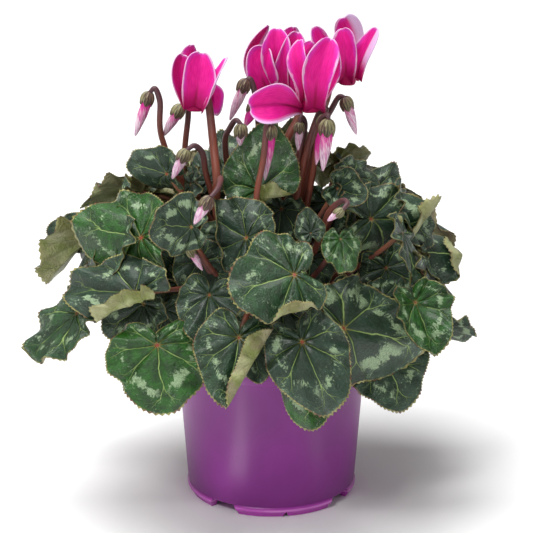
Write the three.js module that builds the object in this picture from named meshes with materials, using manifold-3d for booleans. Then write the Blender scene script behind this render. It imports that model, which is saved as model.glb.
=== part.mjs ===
// A potted cyclamen: a plastic pot, its soil, and a tuber with marbled leaves, nodding buds and
// four open flowers. Millimetres, +Z up, -Y is the front. The origin is on the pot's axis, on the
// surface that the pot stands on.
import * as THREE from "three";
import { mergeVertices } from "three/addons/utils/BufferGeometryUtils.js";
import Module from "manifold-3d";

const wasm = await Module();
wasm.setup();

// Pot
const RIM_RADIUS = 60;
const POT_HEIGHT = 98;
const BAND_HEIGHT = 8.4;
const WALL_TOP_RADIUS = 58;
const WALL_LOW_RADIUS = 51.8;
const FOOT_HEIGHT = 6;
const WALL = 1.5;
const PAD_RADIUS = 22;
const FEET = 4;
const FOOT_TURN = 10; // degrees from the front to the middle of the first foot
const FOOT_SPAN = 73; // degrees that one foot takes
const FOOT_NOTCH = 4;
const DRAIN_HOLES = 6;
const DRAIN_RADIUS = 4;
const DRAIN_RING = 37;

// Soil and tuber
const SOIL_GAP = 0.4;
const SOIL_EDGE = 86;
const SOIL_MOUND = 3;
const TUBER_RADIUS = 21;
const TUBER_HALF_HEIGHT = 12;
const TUBER_MIDDLE = 86;
const TUBER_GAP = 0.8;

// Foliage
const BLADE = 0.9;
const HEAP = { across: -12, up: 130, wide: 132, deep: 108, above: 112, below: 150 };
const FOLD_RADIUS = 0.05; // of a blade that is folded over, for a blade of length 1
const LEAF_STALK = 1.7;
const LEAF_STALK_STEPS = 3;
const STALK_GAP = 0.4;

// Where the plant is looked at from: places are given as they are sighted against an upright board
// through the pot's axis, and lie on the line of sight at a depth of their own.
const EYE = new THREE.Vector3(-3, -1800, 798);
const BOARD_DROP = 2; // the board's zero line is this far under the pot's feet

const { degToRad, lerp, clamp } = THREE.MathUtils;

function smooth(value) {
  const held = clamp(value, 0, 1);
  return held * held * (3 - 2 * held);
}

function sighted(across, up, depth) {
  const onBoard = new THREE.Vector3(across, 0, up - BOARD_DROP);
  return onBoard.sub(EYE).multiplyScalar((depth - EYE.y) / -EYE.y).add(EYE);
}

// The depth at which a line of sight first meets the heap that the foliage makes.
function heapDepth(across, up) {
  let nearest = 0;
  let least = Infinity;
  for (let depth = -140; depth <= 60; depth += 2) {
    const point = sighted(across, up, depth);
    const height = point.z - HEAP.up;
    const reach = height > 0 ? HEAP.above : HEAP.below;
    const outside = Math.hypot((point.x - HEAP.across) / HEAP.wide, depth / HEAP.deep, height / reach);
    if (outside <= 1) return depth;
    if (outside < least) {
      least = outside;
      nearest = depth;
    }
  }
  return nearest;
}

function geometryFrom(points, index) {
  const geometry = new THREE.BufferGeometry();
  geometry.setAttribute("position", new THREE.Float32BufferAttribute(points.flatMap((p) => p.toArray()), 3));
  geometry.setIndex(index);
  return geometry;
}

// Geometry as a solid that can be joined and cut.
function solid(geometry) {
  const bare = geometry.clone();
  bare.deleteAttribute("normal");
  bare.deleteAttribute("uv");
  const merged = mergeVertices(bare, 1e-3);
  const kept = [];
  const all = merged.index.array;
  for (let corner = 0; corner < all.length; corner += 3) {
    const [a, b, c] = all.slice(corner, corner + 3);
    if (a !== b && b !== c && c !== a) kept.push(a, b, c);
  }
  const vertProperties = merged.attributes.position.array;
  return new wasm.Manifold(new wasm.Mesh({ numProp: 3, vertProperties, triVerts: new Uint32Array(kept) }));
}

function geometryOf(made) {
  const mesh = made.getMesh();
  const geometry = new THREE.BufferGeometry();
  geometry.setAttribute("position", new THREE.BufferAttribute(mesh.vertProperties, 3));
  geometry.setIndex(new THREE.BufferAttribute(mesh.triVerts, 1));
  return geometry;
}

// The body alone, without the closed pockets that are left where its parts overlap.
function largestOf(made) {
  return made.decompose().reduce((kept, other) => (other.volume() > kept.volume() ? other : kept));
}

// A closed solid through rings of equally many points, with a flat cap at each end.
function loft(rings) {
  const sides = rings[0].length;
  const index = [];
  for (let ring = 0; ring + 1 < rings.length; ring++) {
    for (let side = 0; side < sides; side++) {
      const a = ring * sides + side;
      const b = ring * sides + ((side + 1) % sides);
      index.push(a, b, b + sides, a, b + sides, a + sides);
    }
  }
  const last = (rings.length - 1) * sides;
  for (let side = 1; side + 1 < sides; side++) {
    index.push(0, side + 1, side);
    index.push(last, last + side, last + side + 1);
  }
  return geometryFrom(rings.flat(), index);
}

// A round tube through points, with a radius at each and, if given, the direction its end faces.
function tube(points, radii, sides, endFacing) {
  let across = new THREE.Vector3(1, 0.2, 0);
  const rings = points.map((point, place) => {
    const before = points[Math.max(0, place - 1)];
    const after = points[Math.min(points.length - 1, place + 1)];
    const along = after.clone().sub(before).normalize();
    if (endFacing && place === points.length - 1) along.copy(endFacing);
    across = across.clone().addScaledVector(along, -across.dot(along)).normalize();
    const over = along.clone().cross(across);
    return Array.from({ length: sides }, (_, side) => {
      const angle = (side / sides) * 2 * Math.PI;
      return point
        .clone()
        .addScaledVector(across, Math.cos(angle) * radii[place])
        .addScaledVector(over, Math.sin(angle) * radii[place]);
    });
  });
  return loft(rings);
}

// A thin closed sheet: a surface of triangles, thickened to both sides along its normals, so that
// both faces are split alike.
function sheet(points, triangles, thickness) {
  const normals = points.map(() => new THREE.Vector3());
  const edges = new Map();
  for (const corners of triangles) {
    const [a, b, c] = corners.map((corner) => points[corner]);
    const facing = b.clone().sub(a).cross(c.clone().sub(a));
    corners.forEach((corner, place) => {
      normals[corner].add(facing);
      edges.set(corner + "," + corners[(place + 1) % 3], [corner, corners[(place + 1) % 3]]);
    });
  }
  normals.forEach((normal) => normal.normalize().multiplyScalar(thickness / 2));
  const count = points.length;
  const both = [
    ...points.map((point, place) => point.clone().add(normals[place])),
    ...points.map((point, place) => point.clone().sub(normals[place])),
  ];
  const index = triangles.flat();
  for (const [a, b, c] of triangles) index.push(c + count, b + count, a + count);
  for (const [a, b] of edges.values()) {
    if (!edges.has(b + "," + a)) index.push(b, a, a + count, b, a + count, b + count);
  }
  return geometryFrom(both, index);
}

// Pot

function revolved(profile, segments) {
  const points = profile.map(([radius, height]) => new THREE.Vector2(radius, height));
  return new THREE.LatheGeometry(points, segments).rotateX(Math.PI / 2);
}

// One half of a foot, from one angle to another: proud of the wall by a bead, drawn in at the
// bottom, with sloping ends.
function footHalf(from, to) {
  const steps = 2;
  const slope = 3.5;
  const section = [
    [WALL_LOW_RADIUS - 5, FOOT_HEIGHT + 1],
    [WALL_LOW_RADIUS - 0.4, FOOT_HEIGHT + 1],
    [WALL_LOW_RADIUS + 0.6, FOOT_HEIGHT - 2.5],
    [WALL_LOW_RADIUS - 1.2, FOOT_HEIGHT - 4],
    [WALL_LOW_RADIUS - 1.8, 0],
    [WALL_LOW_RADIUS - 5, 0],
  ];
  const rings = Array.from({ length: steps + 1 }, (_, step) =>
    section.map(([radius, height]) => {
      const drawn = slope * (1 - height / (FOOT_HEIGHT + 1));
      const angle = degToRad(lerp(from + drawn, to - drawn, step / steps));
      return new THREE.Vector3(radius * Math.sin(angle), -radius * Math.cos(angle), height);
    }),
  );
  return solid(loft(rings));
}

function makePot() {
  const bandLow = POT_HEIGHT - BAND_HEIGHT;
  const shell = revolved(
    [
      [0, 0],
      [PAD_RADIUS, 0],
      [PAD_RADIUS + 1.5, FOOT_HEIGHT],
      [WALL_LOW_RADIUS - 0.8, FOOT_HEIGHT],
      [WALL_LOW_RADIUS, FOOT_HEIGHT + 1],
      [WALL_TOP_RADIUS, bandLow],
      [RIM_RADIUS - 0.6, bandLow + 0.6],
      [RIM_RADIUS, POT_HEIGHT],
      [RIM_RADIUS - WALL, POT_HEIGHT],
      [RIM_RADIUS - 0.6 - WALL, bandLow + 1.6],
      [WALL_TOP_RADIUS - WALL, bandLow],
      [WALL_LOW_RADIUS - WALL, FOOT_HEIGHT + WALL],
      [PAD_RADIUS + 0.2, FOOT_HEIGHT + WALL],
      [PAD_RADIUS - WALL, WALL],
      [0, WALL],
    ],
    32,
  );
  let pot = solid(shell);
  for (let foot = 0; foot < FEET; foot++) {
    const middle = FOOT_TURN + (foot * 360) / FEET;
    const half = FOOT_SPAN / 2;
    const notch = FOOT_NOTCH / 2;
    pot = pot.add(footHalf(middle - half, middle + 3.5 - notch));
    pot = pot.add(footHalf(middle - 3.5 + notch, middle + half));
  }
  for (let hole = 0; hole < DRAIN_HOLES; hole++) {
    const angle = ((hole + 0.5) / DRAIN_HOLES) * 2 * Math.PI;
    const drill = new THREE.CylinderGeometry(DRAIN_RADIUS, DRAIN_RADIUS, 6, 8).rotateX(Math.PI / 2);
    drill.translate(DRAIN_RING * Math.cos(angle), DRAIN_RING * Math.sin(angle), FOOT_HEIGHT);
    pot = pot.subtract(solid(drill));
  }
  return geometryOf(pot);
}

// Soil

function wallRadius(height) {
  const share = (height - FOOT_HEIGHT - WALL) / (POT_HEIGHT - BAND_HEIGHT - FOOT_HEIGHT - WALL);
  return lerp(WALL_LOW_RADIUS, WALL_TOP_RADIUS, share) - WALL;
}

// Crumbs in the soil's surface, as a height that depends on the place.
function crumbs(x, y) {
  return 1.1 * Math.sin(0.61 * x + 1.3) * Math.cos(0.53 * y) + 0.8 * Math.sin(0.37 * x - 0.83 * y);
}

function makeSoil() {
  const floor = FOOT_HEIGHT + WALL + SOIL_GAP;
  const hollow = TUBER_RADIUS + TUBER_GAP;
  const deep = TUBER_HALF_HEIGHT + TUBER_GAP;
  const lip = SOIL_EDGE + SOIL_MOUND;
  const lipRadius = hollow * Math.sqrt(1 - ((lip - TUBER_MIDDLE) / deep) ** 2);
  const profile = [
    [0, floor],
    [wallRadius(floor) - 2 * SOIL_GAP, floor],
    [wallRadius(SOIL_EDGE) - SOIL_GAP, SOIL_EDGE],
    [46, SOIL_EDGE + 1.5],
    [35, lip],
    [27, lip],
    [lipRadius, lip],
  ];
  for (const turn of [0, 28, 52, 74]) {
    const angle = degToRad(turn);
    profile.push([hollow * Math.cos(angle), TUBER_MIDDLE - deep * Math.sin(angle)]);
  }
  profile.push([0, TUBER_MIDDLE - deep]);
  const soil = revolved(profile, 26);
  const place = soil.attributes.position;
  for (let corner = 0; corner < place.count; corner++) {
    const [x, y, z] = [place.getX(corner), place.getY(corner), place.getZ(corner)];
    const radius = Math.hypot(x, y);
    if (z > SOIL_EDGE + 1 && radius > hollow + 2) place.setZ(corner, z + crumbs(x, y));
  }
  return geometryOf(solid(soil));
}

// Leaves

// The outline of a flat blade of length 1, as the distance from its stalk in a direction that is
// counted from the tip: heart-shaped, with round lobes beside the notch, and a little uneven.
function outline(leaf, angle) {
  const heart = 0.6 + 0.24 * Math.cos(angle) + 0.02 * Math.cos(2 * angle) + 0.06 * Math.cos(3 * angle);
  const point = 0.04 * Math.cos(5 * angle) + 0.04 * Math.max(0, Math.cos(angle)) ** 12;
  const uneven = 0.03 * Math.sin(3 * angle + leaf.phase) + 0.025 * Math.sin(4 * angle + 2.3 * leaf.phase);
  return (heart + point) * (1 + uneven * Math.sin(angle));
}

// How steeply a blade leaves its own plane at a share of the way out, in degrees.
function steepness(leaf, share, angle) {
  let steep = smooth(share / 0.4) * (leaf.cup + leaf.fold * Math.abs(Math.sin(angle)));
  steep += smooth(share / 0.4) * leaf.side * Math.sin(angle);
  steep += share * leaf.droop * Math.max(0, Math.cos(angle));
  const waves = 1.2 * Math.sin(5 * angle + leaf.phase) + 0.8 * Math.sin(3 * angle + 1.7 * leaf.phase);
  steep += share * share * leaf.wave * waves;
  return degToRad(steep);
}

const RAY_STEPS = 20;

// A ray of the blade, bent in its own upright plane: the distance from the stalk and the height
// at a share of the way out.
function ray(leaf, angle, share) {
  const step = share / RAY_STEPS;
  let away = 0;
  let height = 0;
  for (let place = 0.5; place < RAY_STEPS; place++) {
    const steep = steepness(leaf, place * step, angle);
    away += Math.cos(steep) * step;
    height += Math.sin(steep) * step;
  }
  return [away, height];
}

// A leaf's own axes: along it, across it and out of its upper face, and its flat length.
function stance(leaf) {
  const towardsTip = leaf.tipPoint.clone().sub(leaf.stalkPoint);
  const eye = EYE.clone().applyAxisAngle(new THREE.Vector3(0, 0, 1), leaf.behind ? Math.PI : 0);
  const towardsEye = eye.sub(leaf.stalkPoint).normalize();
  const chord = towardsTip.clone().normalize();
  const across = towardsEye.cross(chord).normalize();
  across.applyAxisAngle(chord, degToRad(leaf.roll));
  const [reach, height] = ray(leaf, 0, 1);
  const tilt = Math.atan2(height, reach);
  const along = chord.clone().applyAxisAngle(across, tilt);
  const facing = along.clone().cross(across).normalize();
  return { along, across, facing, length: towardsTip.length() / Math.hypot(reach, height) };
}

const SINUS = degToRad(176);

// How far out a ray in a direction meets the line that a fold turns about.
function foldReach([at, far], angle) {
  const slant = Math.cos(angle - degToRad(at));
  return slant > 0.05 ? (far + FOLD_RADIUS) / slant : Infinity;
}

// A flat point after the blade's folds: [along, across, height]. What lies beyond a line turns
// about it, up and over.
function folded(leaf, along, across) {
  let point = [along, across, 0];
  for (const [at, far, lift] of leaf.folds) {
    const [toX, toY] = [Math.cos(degToRad(at)), Math.sin(degToRad(at))];
    const beyond = point[0] * toX + point[1] * toY - far;
    if (beyond <= 0) continue;
    const turn = Math.min(beyond / FOLD_RADIUS, degToRad(lift));
    const rest = beyond - turn * FOLD_RADIUS;
    const moved = FOLD_RADIUS * Math.sin(turn) + rest * Math.cos(turn) - beyond;
    const raised = FOLD_RADIUS * (1 - Math.cos(turn)) + rest * Math.sin(turn);
    point = [point[0] + toX * moved, point[1] + toY * moved, point[2] + raised];
  }
  return point;
}

function bladePoint(leaf, axes, angle, share) {
  const out = share * outline(leaf, angle);
  const [x, y, raised] = folded(leaf, out * Math.cos(angle), out * leaf.wide * Math.sin(angle));
  const direction = Math.atan2(y / leaf.wide, x);
  const [away, height] = ray(leaf, direction, Math.hypot(x, y / leaf.wide) / outline(leaf, direction));
  const edge = outline(leaf, direction) * axes.length;
  const point = leaf.stalkPoint.clone().addScaledVector(axes.along, away * edge * Math.cos(direction));
  point.addScaledVector(axes.across, away * edge * leaf.wide * Math.sin(direction));
  return point.addScaledVector(axes.facing, height * edge + raised * axes.length);
}

function bladeSurface(leaf) {
  const axes = stance(leaf);
  const spokes = leaf.small ? 12 : 14;
  const even = leaf.small ? [0.5, 1] : [0.42, 0.76, 1];
  const rings = even.length;
  const points = [leaf.stalkPoint.clone()];
  for (let spoke = 0; spoke <= spokes; spoke++) {
    const angle = lerp(-SINUS, SINUS, spoke / spokes);
    const flatAngle = Math.atan2(leaf.wide * Math.sin(angle), Math.cos(angle));
    const stretch = outline(leaf, angle) * Math.hypot(Math.cos(angle), leaf.wide * Math.sin(angle));
    const shares = [...even];
    for (const fold of leaf.folds) {
      const share = foldReach(fold, flatAngle) / stretch;
      if (share > 0.15 && share < 0.92) shares[rings - 2] = share;
      if (share > 0.15 && share < 0.92 && rings === 3) shares[0] = 0.55 * share;
    }
    for (const share of shares) points.push(bladePoint(leaf, axes, angle, share));
  }
  const triangles = [];
  for (let spoke = 0; spoke < spokes; spoke++) {
    const here = 1 + spoke * rings;
    const next = here + rings;
    triangles.push([0, here, next]);
    for (let ring = 0; ring + 1 < rings; ring++) {
      triangles.push([here + ring, here + ring + 1, next + ring + 1]);
      triangles.push([here + ring, next + ring + 1, next + ring]);
    }
  }
  return { points, triangles };
}

// Leaves of the front, the foremost first. stalk: sighted across and up, and how far inside the
// heap. tip: sighted across and up, and how much deeper than the stalk. roll: turns the blade about
// its length. wide: width against length. cup, fold, side, droop and wave: bend it, in degrees.
// folds: the blade turns over about a line that lies in a direction from the stalk, counted from the
// tip, at a share of the blade's length, through an angle.
const FRONT_LEAVES = [
  { stalk: [19, 97, 10], tip: [38, 49, -16], wide: 0.94, cup: -8, droop: -14, wave: 7 },
  { stalk: [14, 141, 10], tip: [-26, 130, -12], roll: 26, wide: 1.26, fold: -13, side: -13, wave: 5, folds: [[88, 0.52, 150]] },
  { stalk: [-20, 100, 10], tip: [-28, 53, -16], wide: 1, cup: -6, wave: 5, folds: [[70, 0.3, 160]], bow: [0, 0, 24] },
  { stalk: [-15, 165, 20], tip: [-43, 181, 22], wide: 1.1, fold: -8, wave: 6, folds: [[38, 0.42, 110]] },
  { stalk: [44, 106, 12], tip: [95, 94, 26], roll: -24, wide: 0.92, fold: -28, side: 28, wave: 6 },
  { stalk: [42, 164, 22], tip: [46, 142, -20], roll: -10, wide: 0.8, cup: -12, wave: 8 },
  { stalk: [-70, 95, 14], tip: [-65, 49, -16], roll: 22, wide: 1.34, fold: -24, side: -26, wave: 7 },
  { stalk: [-83, 129, 18], tip: [-127, 133, 30], roll: 16, wide: 0.72, wave: 6, folds: [[112, 0.1, 118]], bow: [16, 0, 16] },
  { stalk: [-79, 165, 22], tip: [-121, 175, 28], roll: 20, wide: 0.92, fold: -28, side: -30, wave: 5, bow: [-8, 8, 0] },
  { stalk: [-49, 172, 4], tip: [-73, 175, -14], roll: 14, wide: 1.15, cup: 12, fold: -28, side: -34, wave: 8, bow: [-8, -8, 0] },
  { stalk: [40, 197, 32], tip: [58, 190, -12], roll: -10, wide: 1.15, cup: 35, wave: 5, bow: [-8, 0, 0] },
  { stalk: [60, 177, 24], tip: [104, 175, 30], roll: -26, wide: 0.72, fold: -30, side: 34, wave: 6, folds: [[-36, 0.56, 160]] },
  { stalk: [80, 158, 30], tip: [127, 152, 24], roll: -10, wide: 0.8, fold: -44, side: -24, folds: [[-4, 0.7, 165]], bow: [-8, 0, 8] },
  { stalk: [88, 123, 18], tip: [101, 88, -16], roll: -26, wide: 1.08, fold: 42, wave: 5, bow: [34, 0, 0] },
  { stalk: [-119, 116, 10], tip: [-151, 87, 12], roll: 48, wide: 0.76, wave: 5, folds: [[24, 0.8, 150]] },
  { stalk: [-8, 196, 40], tip: [1, 239, 30], wide: 0.84, wave: 6, folds: [[-150, 0.14, 150]], small: true },
  { stalk: [17, 79, 12], tip: [26, 38, -12], wide: 0.98, fold: -37, side: 27, wave: 8, small: true },
  { stalk: [69, 88, 22], tip: [83, 51, -12], roll: -18, wide: 1.22, cup: -7, wave: 5 },
  { stalk: [-38, 128, 26], tip: [-44, 96, -14], roll: 12, wide: 1.1, wave: 6, small: true },
  { stalk: [-58, 144, 22], tip: [-53, 162, -14], wide: 1.05, cup: 48, small: true, bow: [0, 0, 24] },
  { stalk: [-78, 195, 80], tip: [-113, 184, 20], roll: 128, wide: 0.86, wave: 10, small: true, bow: [16, 16, 16] },
  { stalk: [-108, 167, 60], tip: [-138, 136, 14], roll: 120, wide: 0.84, fold: 20, small: true, bow: [0, 34, 34] },
  { stalk: [-63, 206, 14], tip: [-88, 214, 14], roll: 6, wide: 1.02, fold: -22, side: -30, wave: 6, bow: [8, -8, 0] },
  { stalk: [-78, 122, 34], tip: [-104, 103, 8], roll: 20, wide: 0.95, wave: 8, small: true },
  { stalk: [24, 168, 36], tip: [20, 184, 12], wide: 0.9, small: true },
  { stalk: [47, 203, 50], tip: [64, 202, 20], roll: -20, wide: 0.85, small: true },
  { stalk: [60, 191, 45], tip: [76, 211, 20], roll: -10, wide: 0.75, small: true },
  { stalk: [40, 214, 70], tip: [59, 218, 14], roll: -130, wide: 0.9, small: true },
  { stalk: [106, 108, 40], tip: [124, 100, 12], roll: 60, wide: 1, small: true },
  { stalk: [76, 156, 70], tip: [74, 136, 14], roll: 160, wide: 0.9, small: true, bow: [-8, 0, 0] },
  { stalk: [84, 180, 50], tip: [97, 160, 4], roll: -30, wide: 0.95, small: true, bow: [-16, -16, 16] },
  { stalk: [68, 126, 40], tip: [80, 139, 14], roll: -10, wide: 1, small: true },
  { stalk: [52, 136, 74], tip: [68, 142, 8], roll: -140, wide: 0.9, small: true, bow: [-8, 8, 0] },
  { stalk: [-12, 94, 30], tip: [-6, 70, -12], wide: 0.95, small: true },
  { stalk: [-114, 168, 78], tip: [-137, 170, 6], wide: 0.85, small: true, bow: [0, 34, 34] },
  { stalk: [-46, 201, 66], tip: [-48, 219, 14], roll: 150, wide: 0.9, small: true, bow: [0, 0, -8] },
  { stalk: [-38, 202, 54], tip: [-42, 221, 18], roll: 10, wide: 0.85, small: true },
  { stalk: [-26, 210, 64], tip: [-28, 233, 22], wide: 0.85, small: true },
  { stalk: [-30, 166, 40], tip: [-47, 154, -6], roll: 16, wide: 1, small: true },
];

// Leaves of the far side, sighted in the same way from behind.
const BACK_LEAVES = [
  { stalk: [0, 134, 10], tip: [8, 92, -20], roll: 6, wide: 0.98, cup: -8, wave: 6 },
  { stalk: [-44, 118, 12], tip: [-62, 78, -14], roll: 24, droop: -15 },
  { stalk: [46, 118, 12], tip: [64, 78, -14], roll: -22, cup: -6, wave: 6 },
  { stalk: [-84, 126, 6], tip: [-119, 112, 20], roll: 30, wide: 1, droop: -10 },
  { stalk: [84, 132, 2], tip: [122, 118, 18], roll: -30, wide: 1, wave: 7 },
  { stalk: [-28, 156, 8], tip: [-64, 144, 4], roll: 28, wide: 0.95, cup: -8 },
  { stalk: [24, 166, 10], tip: [36, 130, -22], roll: -14, wide: 0.92, wave: 6 },
  { stalk: [58, 156, 4], tip: [94, 148, 12], roll: -24, wide: 0.92, cup: -6 },
  { stalk: [-68, 142, 0], tip: [-98, 139, 16], roll: 30, wide: 0.88, wave: 6, bow: [16, -16, 0] },
  { stalk: [-6, 182, 16], tip: [-16, 212, 20], roll: 8, wide: 0.95, wave: 6 },
  { stalk: [22, 96, 12], tip: [32, 54, -16], roll: -8, wide: 0.98, cup: -6 },
  { stalk: [-22, 92, 12], tip: [-30, 48, -16], roll: 8, wide: 0.98, wave: 7 },
  { stalk: [80, 98, 14], tip: [110, 68, 2], roll: -34, wide: 1.02, cup: -5 },
  { stalk: [-82, 96, 14], tip: [-112, 66, 2], roll: 34, wide: 1.02, wave: 6 },
];

// How steeply the blade falls away from its stalk, where it falls most.
function hang(leaf) {
  let most = 0;
  for (let turn = 0; turn < 360; turn += 30) {
    const [away, height] = ray(leaf, degToRad(turn), 0.42);
    most = Math.max(most, -height / away);
  }
  return most;
}

const ROOM = 2.2; // thickness that a blade claims while it finds its place
const SETTLE_STEP = 2;
const SETTLE_TRIES = 30;

// Each leaf hangs behind those already placed: it moves away from the eye until it is clear.
function settle(rows, behind, taken) {
  return rows.map((row, place) => {
    const plain = { roll: 0, wide: 0.96, cup: 0, fold: 0, side: 0, droop: 0, wave: 5, folds: [], bow: [0, 0, 0] };
    const leaf = { ...plain, small: behind, ...row, behind, phase: 1.7 * place, number: taken.length + 1 };
    const turn = behind ? Math.PI : 0;
    const up = new THREE.Vector3(0, 0, 1);
    const depth = heapDepth(row.stalk[0], row.stalk[1]) + row.stalk[2];
    leaf.stalkPoint = sighted(row.stalk[0], row.stalk[1], depth).applyAxisAngle(up, turn);
    leaf.tipPoint = sighted(row.tip[0], row.tip[1], depth + row.tip[2]).applyAxisAngle(up, turn);
    const eye = EYE.clone().applyAxisAngle(up, turn);
    const away = leaf.stalkPoint.clone().sub(eye).normalize().multiplyScalar(SETTLE_STEP);
    let claimed;
    for (let go = 0; go < SETTLE_TRIES; go++) {
      const { points, triangles } = bladeSurface(leaf);
      claimed = solid(sheet(points, triangles, ROOM));
      if (taken.every((other) => claimed.intersect(other).isEmpty())) break;
      leaf.stalkPoint.add(away);
      leaf.tipPoint.add(away);
    }
    taken.push(claimed);
    leaf.spare = LEAF_STALK * hang(leaf);
    return leaf;
  });
}

const taken = [];
const leaves = [...settle(FRONT_LEAVES, false, taken), ...settle(BACK_LEAVES, true, taken)];

// Stalks

// The height of the tuber's skin at a distance from its middle.
function tuberTop(radius) {
  return TUBER_MIDDLE + TUBER_HALF_HEIGHT * Math.sqrt(1 - (radius / TUBER_RADIUS) ** 2);
}

// Where a stalk starts on the tuber: on the side that it heads for, and the further out the lower
// it heads.
function stalkRoot(goal) {
  const distance = Math.hypot(goal.x, goal.y);
  const upright = Math.atan2(goal.z - TUBER_MIDDLE, distance) / (Math.PI / 2);
  const radius = Math.min(distance, lerp(18, 2, clamp(upright, 0, 1)));
  const heading = Math.atan2(goal.y, goal.x);
  const sunk = 3;
  return new THREE.Vector3(radius * Math.cos(heading), radius * Math.sin(heading), tuberTop(radius) - sunk);
}

// A leaf's stalk rises from the tuber and meets its blade from below.
function leafStalk(leaf) {
  const { facing } = stance(leaf);
  const end = leaf.stalkPoint.clone().addScaledVector(facing, -(BLADE / 2 + STALK_GAP + leaf.spare));
  const root = stalkRoot(end);
  const span = end.distanceTo(root);
  const straight = end.clone().sub(root).normalize();
  const arriving = straight.clone().addScaledVector(facing, Math.max(0, 0.6 - straight.dot(facing)));
  const rise = new THREE.Vector3(straight.x * 0.4, straight.y * 0.4, 1).normalize();
  const bow = new THREE.Vector3(...leaf.bow);
  const first = root.clone().addScaledVector(rise, 0.35 * span).add(bow);
  const second = end.clone().addScaledVector(arriving.normalize(), -0.3 * span).add(bow);
  const line = new THREE.CubicBezierCurve3(root, first, second, end);
  const points = line.getPoints(LEAF_STALK_STEPS);
  return tube(points, points.map(() => LEAF_STALK), 3, facing);
}

// A stalk along sighted points, from its top down, that ends in the tuber.
function sightedStalk(route, thick, thin) {
  const points = route.map(([across, up, depth]) => sighted(across, up, depth));
  points.push(stalkRoot(points[points.length - 1]));
  const line = new THREE.CatmullRomCurve3(points, false, "centripetal");
  const steps = points.length + 1;
  const along = Array.from({ length: steps + 1 }, (_, step) => line.getPoint(step / steps));
  const radii = along.map((_, step) => lerp(thin, thick, smooth(step / steps / 0.5)));
  return tube(along, radii, 4);
}

// Closed buds. calyx: sighted across, up and depth of the sepals' top; tip: sighted across and up;
// size: thickness; route: the stalk from the sepals down, as sighted.
const BUDS = [
  { calyx: [-73, 257, -5], tip: [-82, 230], route: [[-70, 260, -5], [-67, 253, -5], [-66, 229, -5]] },
  { calyx: [-54, 249, -2], tip: [-65, 230], route: [[-52, 252, 2], [-50, 247, 4], [-52, 224, 2], [-53, 200, 0]] },
  { calyx: [-51, 221, -44], tip: [-60, 203], route: [[-47, 224, -42], [-42, 220, -36], [-39, 204, -26]] },
  { calyx: [-37, 191, -92], tip: [-47, 174], route: [[-33, 196, -86], [-31, 201, -74], [-31, 203, -56], [-33, 196, -42], [-34, 182, -32]] },
  { calyx: [-15, 265, -2], tip: [-25, 240], route: [[-13, 266, -2], [-10, 257, -1], [-8, 238, 4]] },
  { calyx: [-18, 237, -22], tip: [-19, 224], route: [[-21, 240, -20], [-25, 235, -14], [-28, 226, -6]] },
  { calyx: [0, 236, -30], tip: [-4, 202], route: [[0, 242, -32], [-2, 240, -30], [-5, 215, -36], [-9, 192, -42], [-8, 174, -40]] },
  { calyx: [17, 238, -14], tip: [16, 221], size: 0.8, route: [[18, 242, -12], [20, 238, -10], [16, 215, -8]] },
  { calyx: [34, 240, -34], tip: [31, 208], size: 1.2, route: [[34, 243, -33], [30, 241, -27], [27, 222, -14], [24, 200, -8]] },
  { calyx: [32, 243, -20], tip: [27, 212], route: [[33, 247, -18], [29, 244, -14], [20, 216, -10]] },
  { calyx: [44, 254, -8], tip: [51, 231], route: [[41, 255, -7], [36, 247, -6], [28, 230, -4]] },
  { calyx: [43, 183, -70], tip: [34, 176], size: 0.7, route: [[46, 187, -66], [43, 189, -56], [35, 182, -44], [31, 170, -34]] },
  { calyx: [-50, 158, -66], tip: [-42, 144], size: 0.7, route: [[-48, 161, -64], [-44, 154, -58]] },
  { calyx: [-8, 134, -60], tip: [-9, 118], size: 0.6, route: [[-6, 137, -58], [-4, 130, -54]] },
  { calyx: [16, 132, -60], tip: [15, 116], size: 0.6, route: [[14, 135, -58], [12, 128, -54]] },
  { calyx: [-8, 252, -2], tip: [-16, 236], size: 1.1, route: [[-5, 254, 0], [-4, 246, 2], [-6, 226, 2]] },
];

// A bud's thickness along its length: sepals, then the furled petals.
const BUD_PROFILE = [
  [0, 1.3],
  [0.1, 3.4],
  [0.24, 4],
  [0.36, 3.1],
  [0.68, 2.5],
  [1, 0.5],
];

function bud({ calyx, tip, size = 1 }) {
  const top = sighted(...calyx);
  const end = sighted(tip[0], tip[1], calyx[2]);
  const points = BUD_PROFILE.map(([share]) => top.clone().lerp(end, share));
  return tube(points, BUD_PROFILE.map(([, radius]) => radius * size), 5);
}

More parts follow.
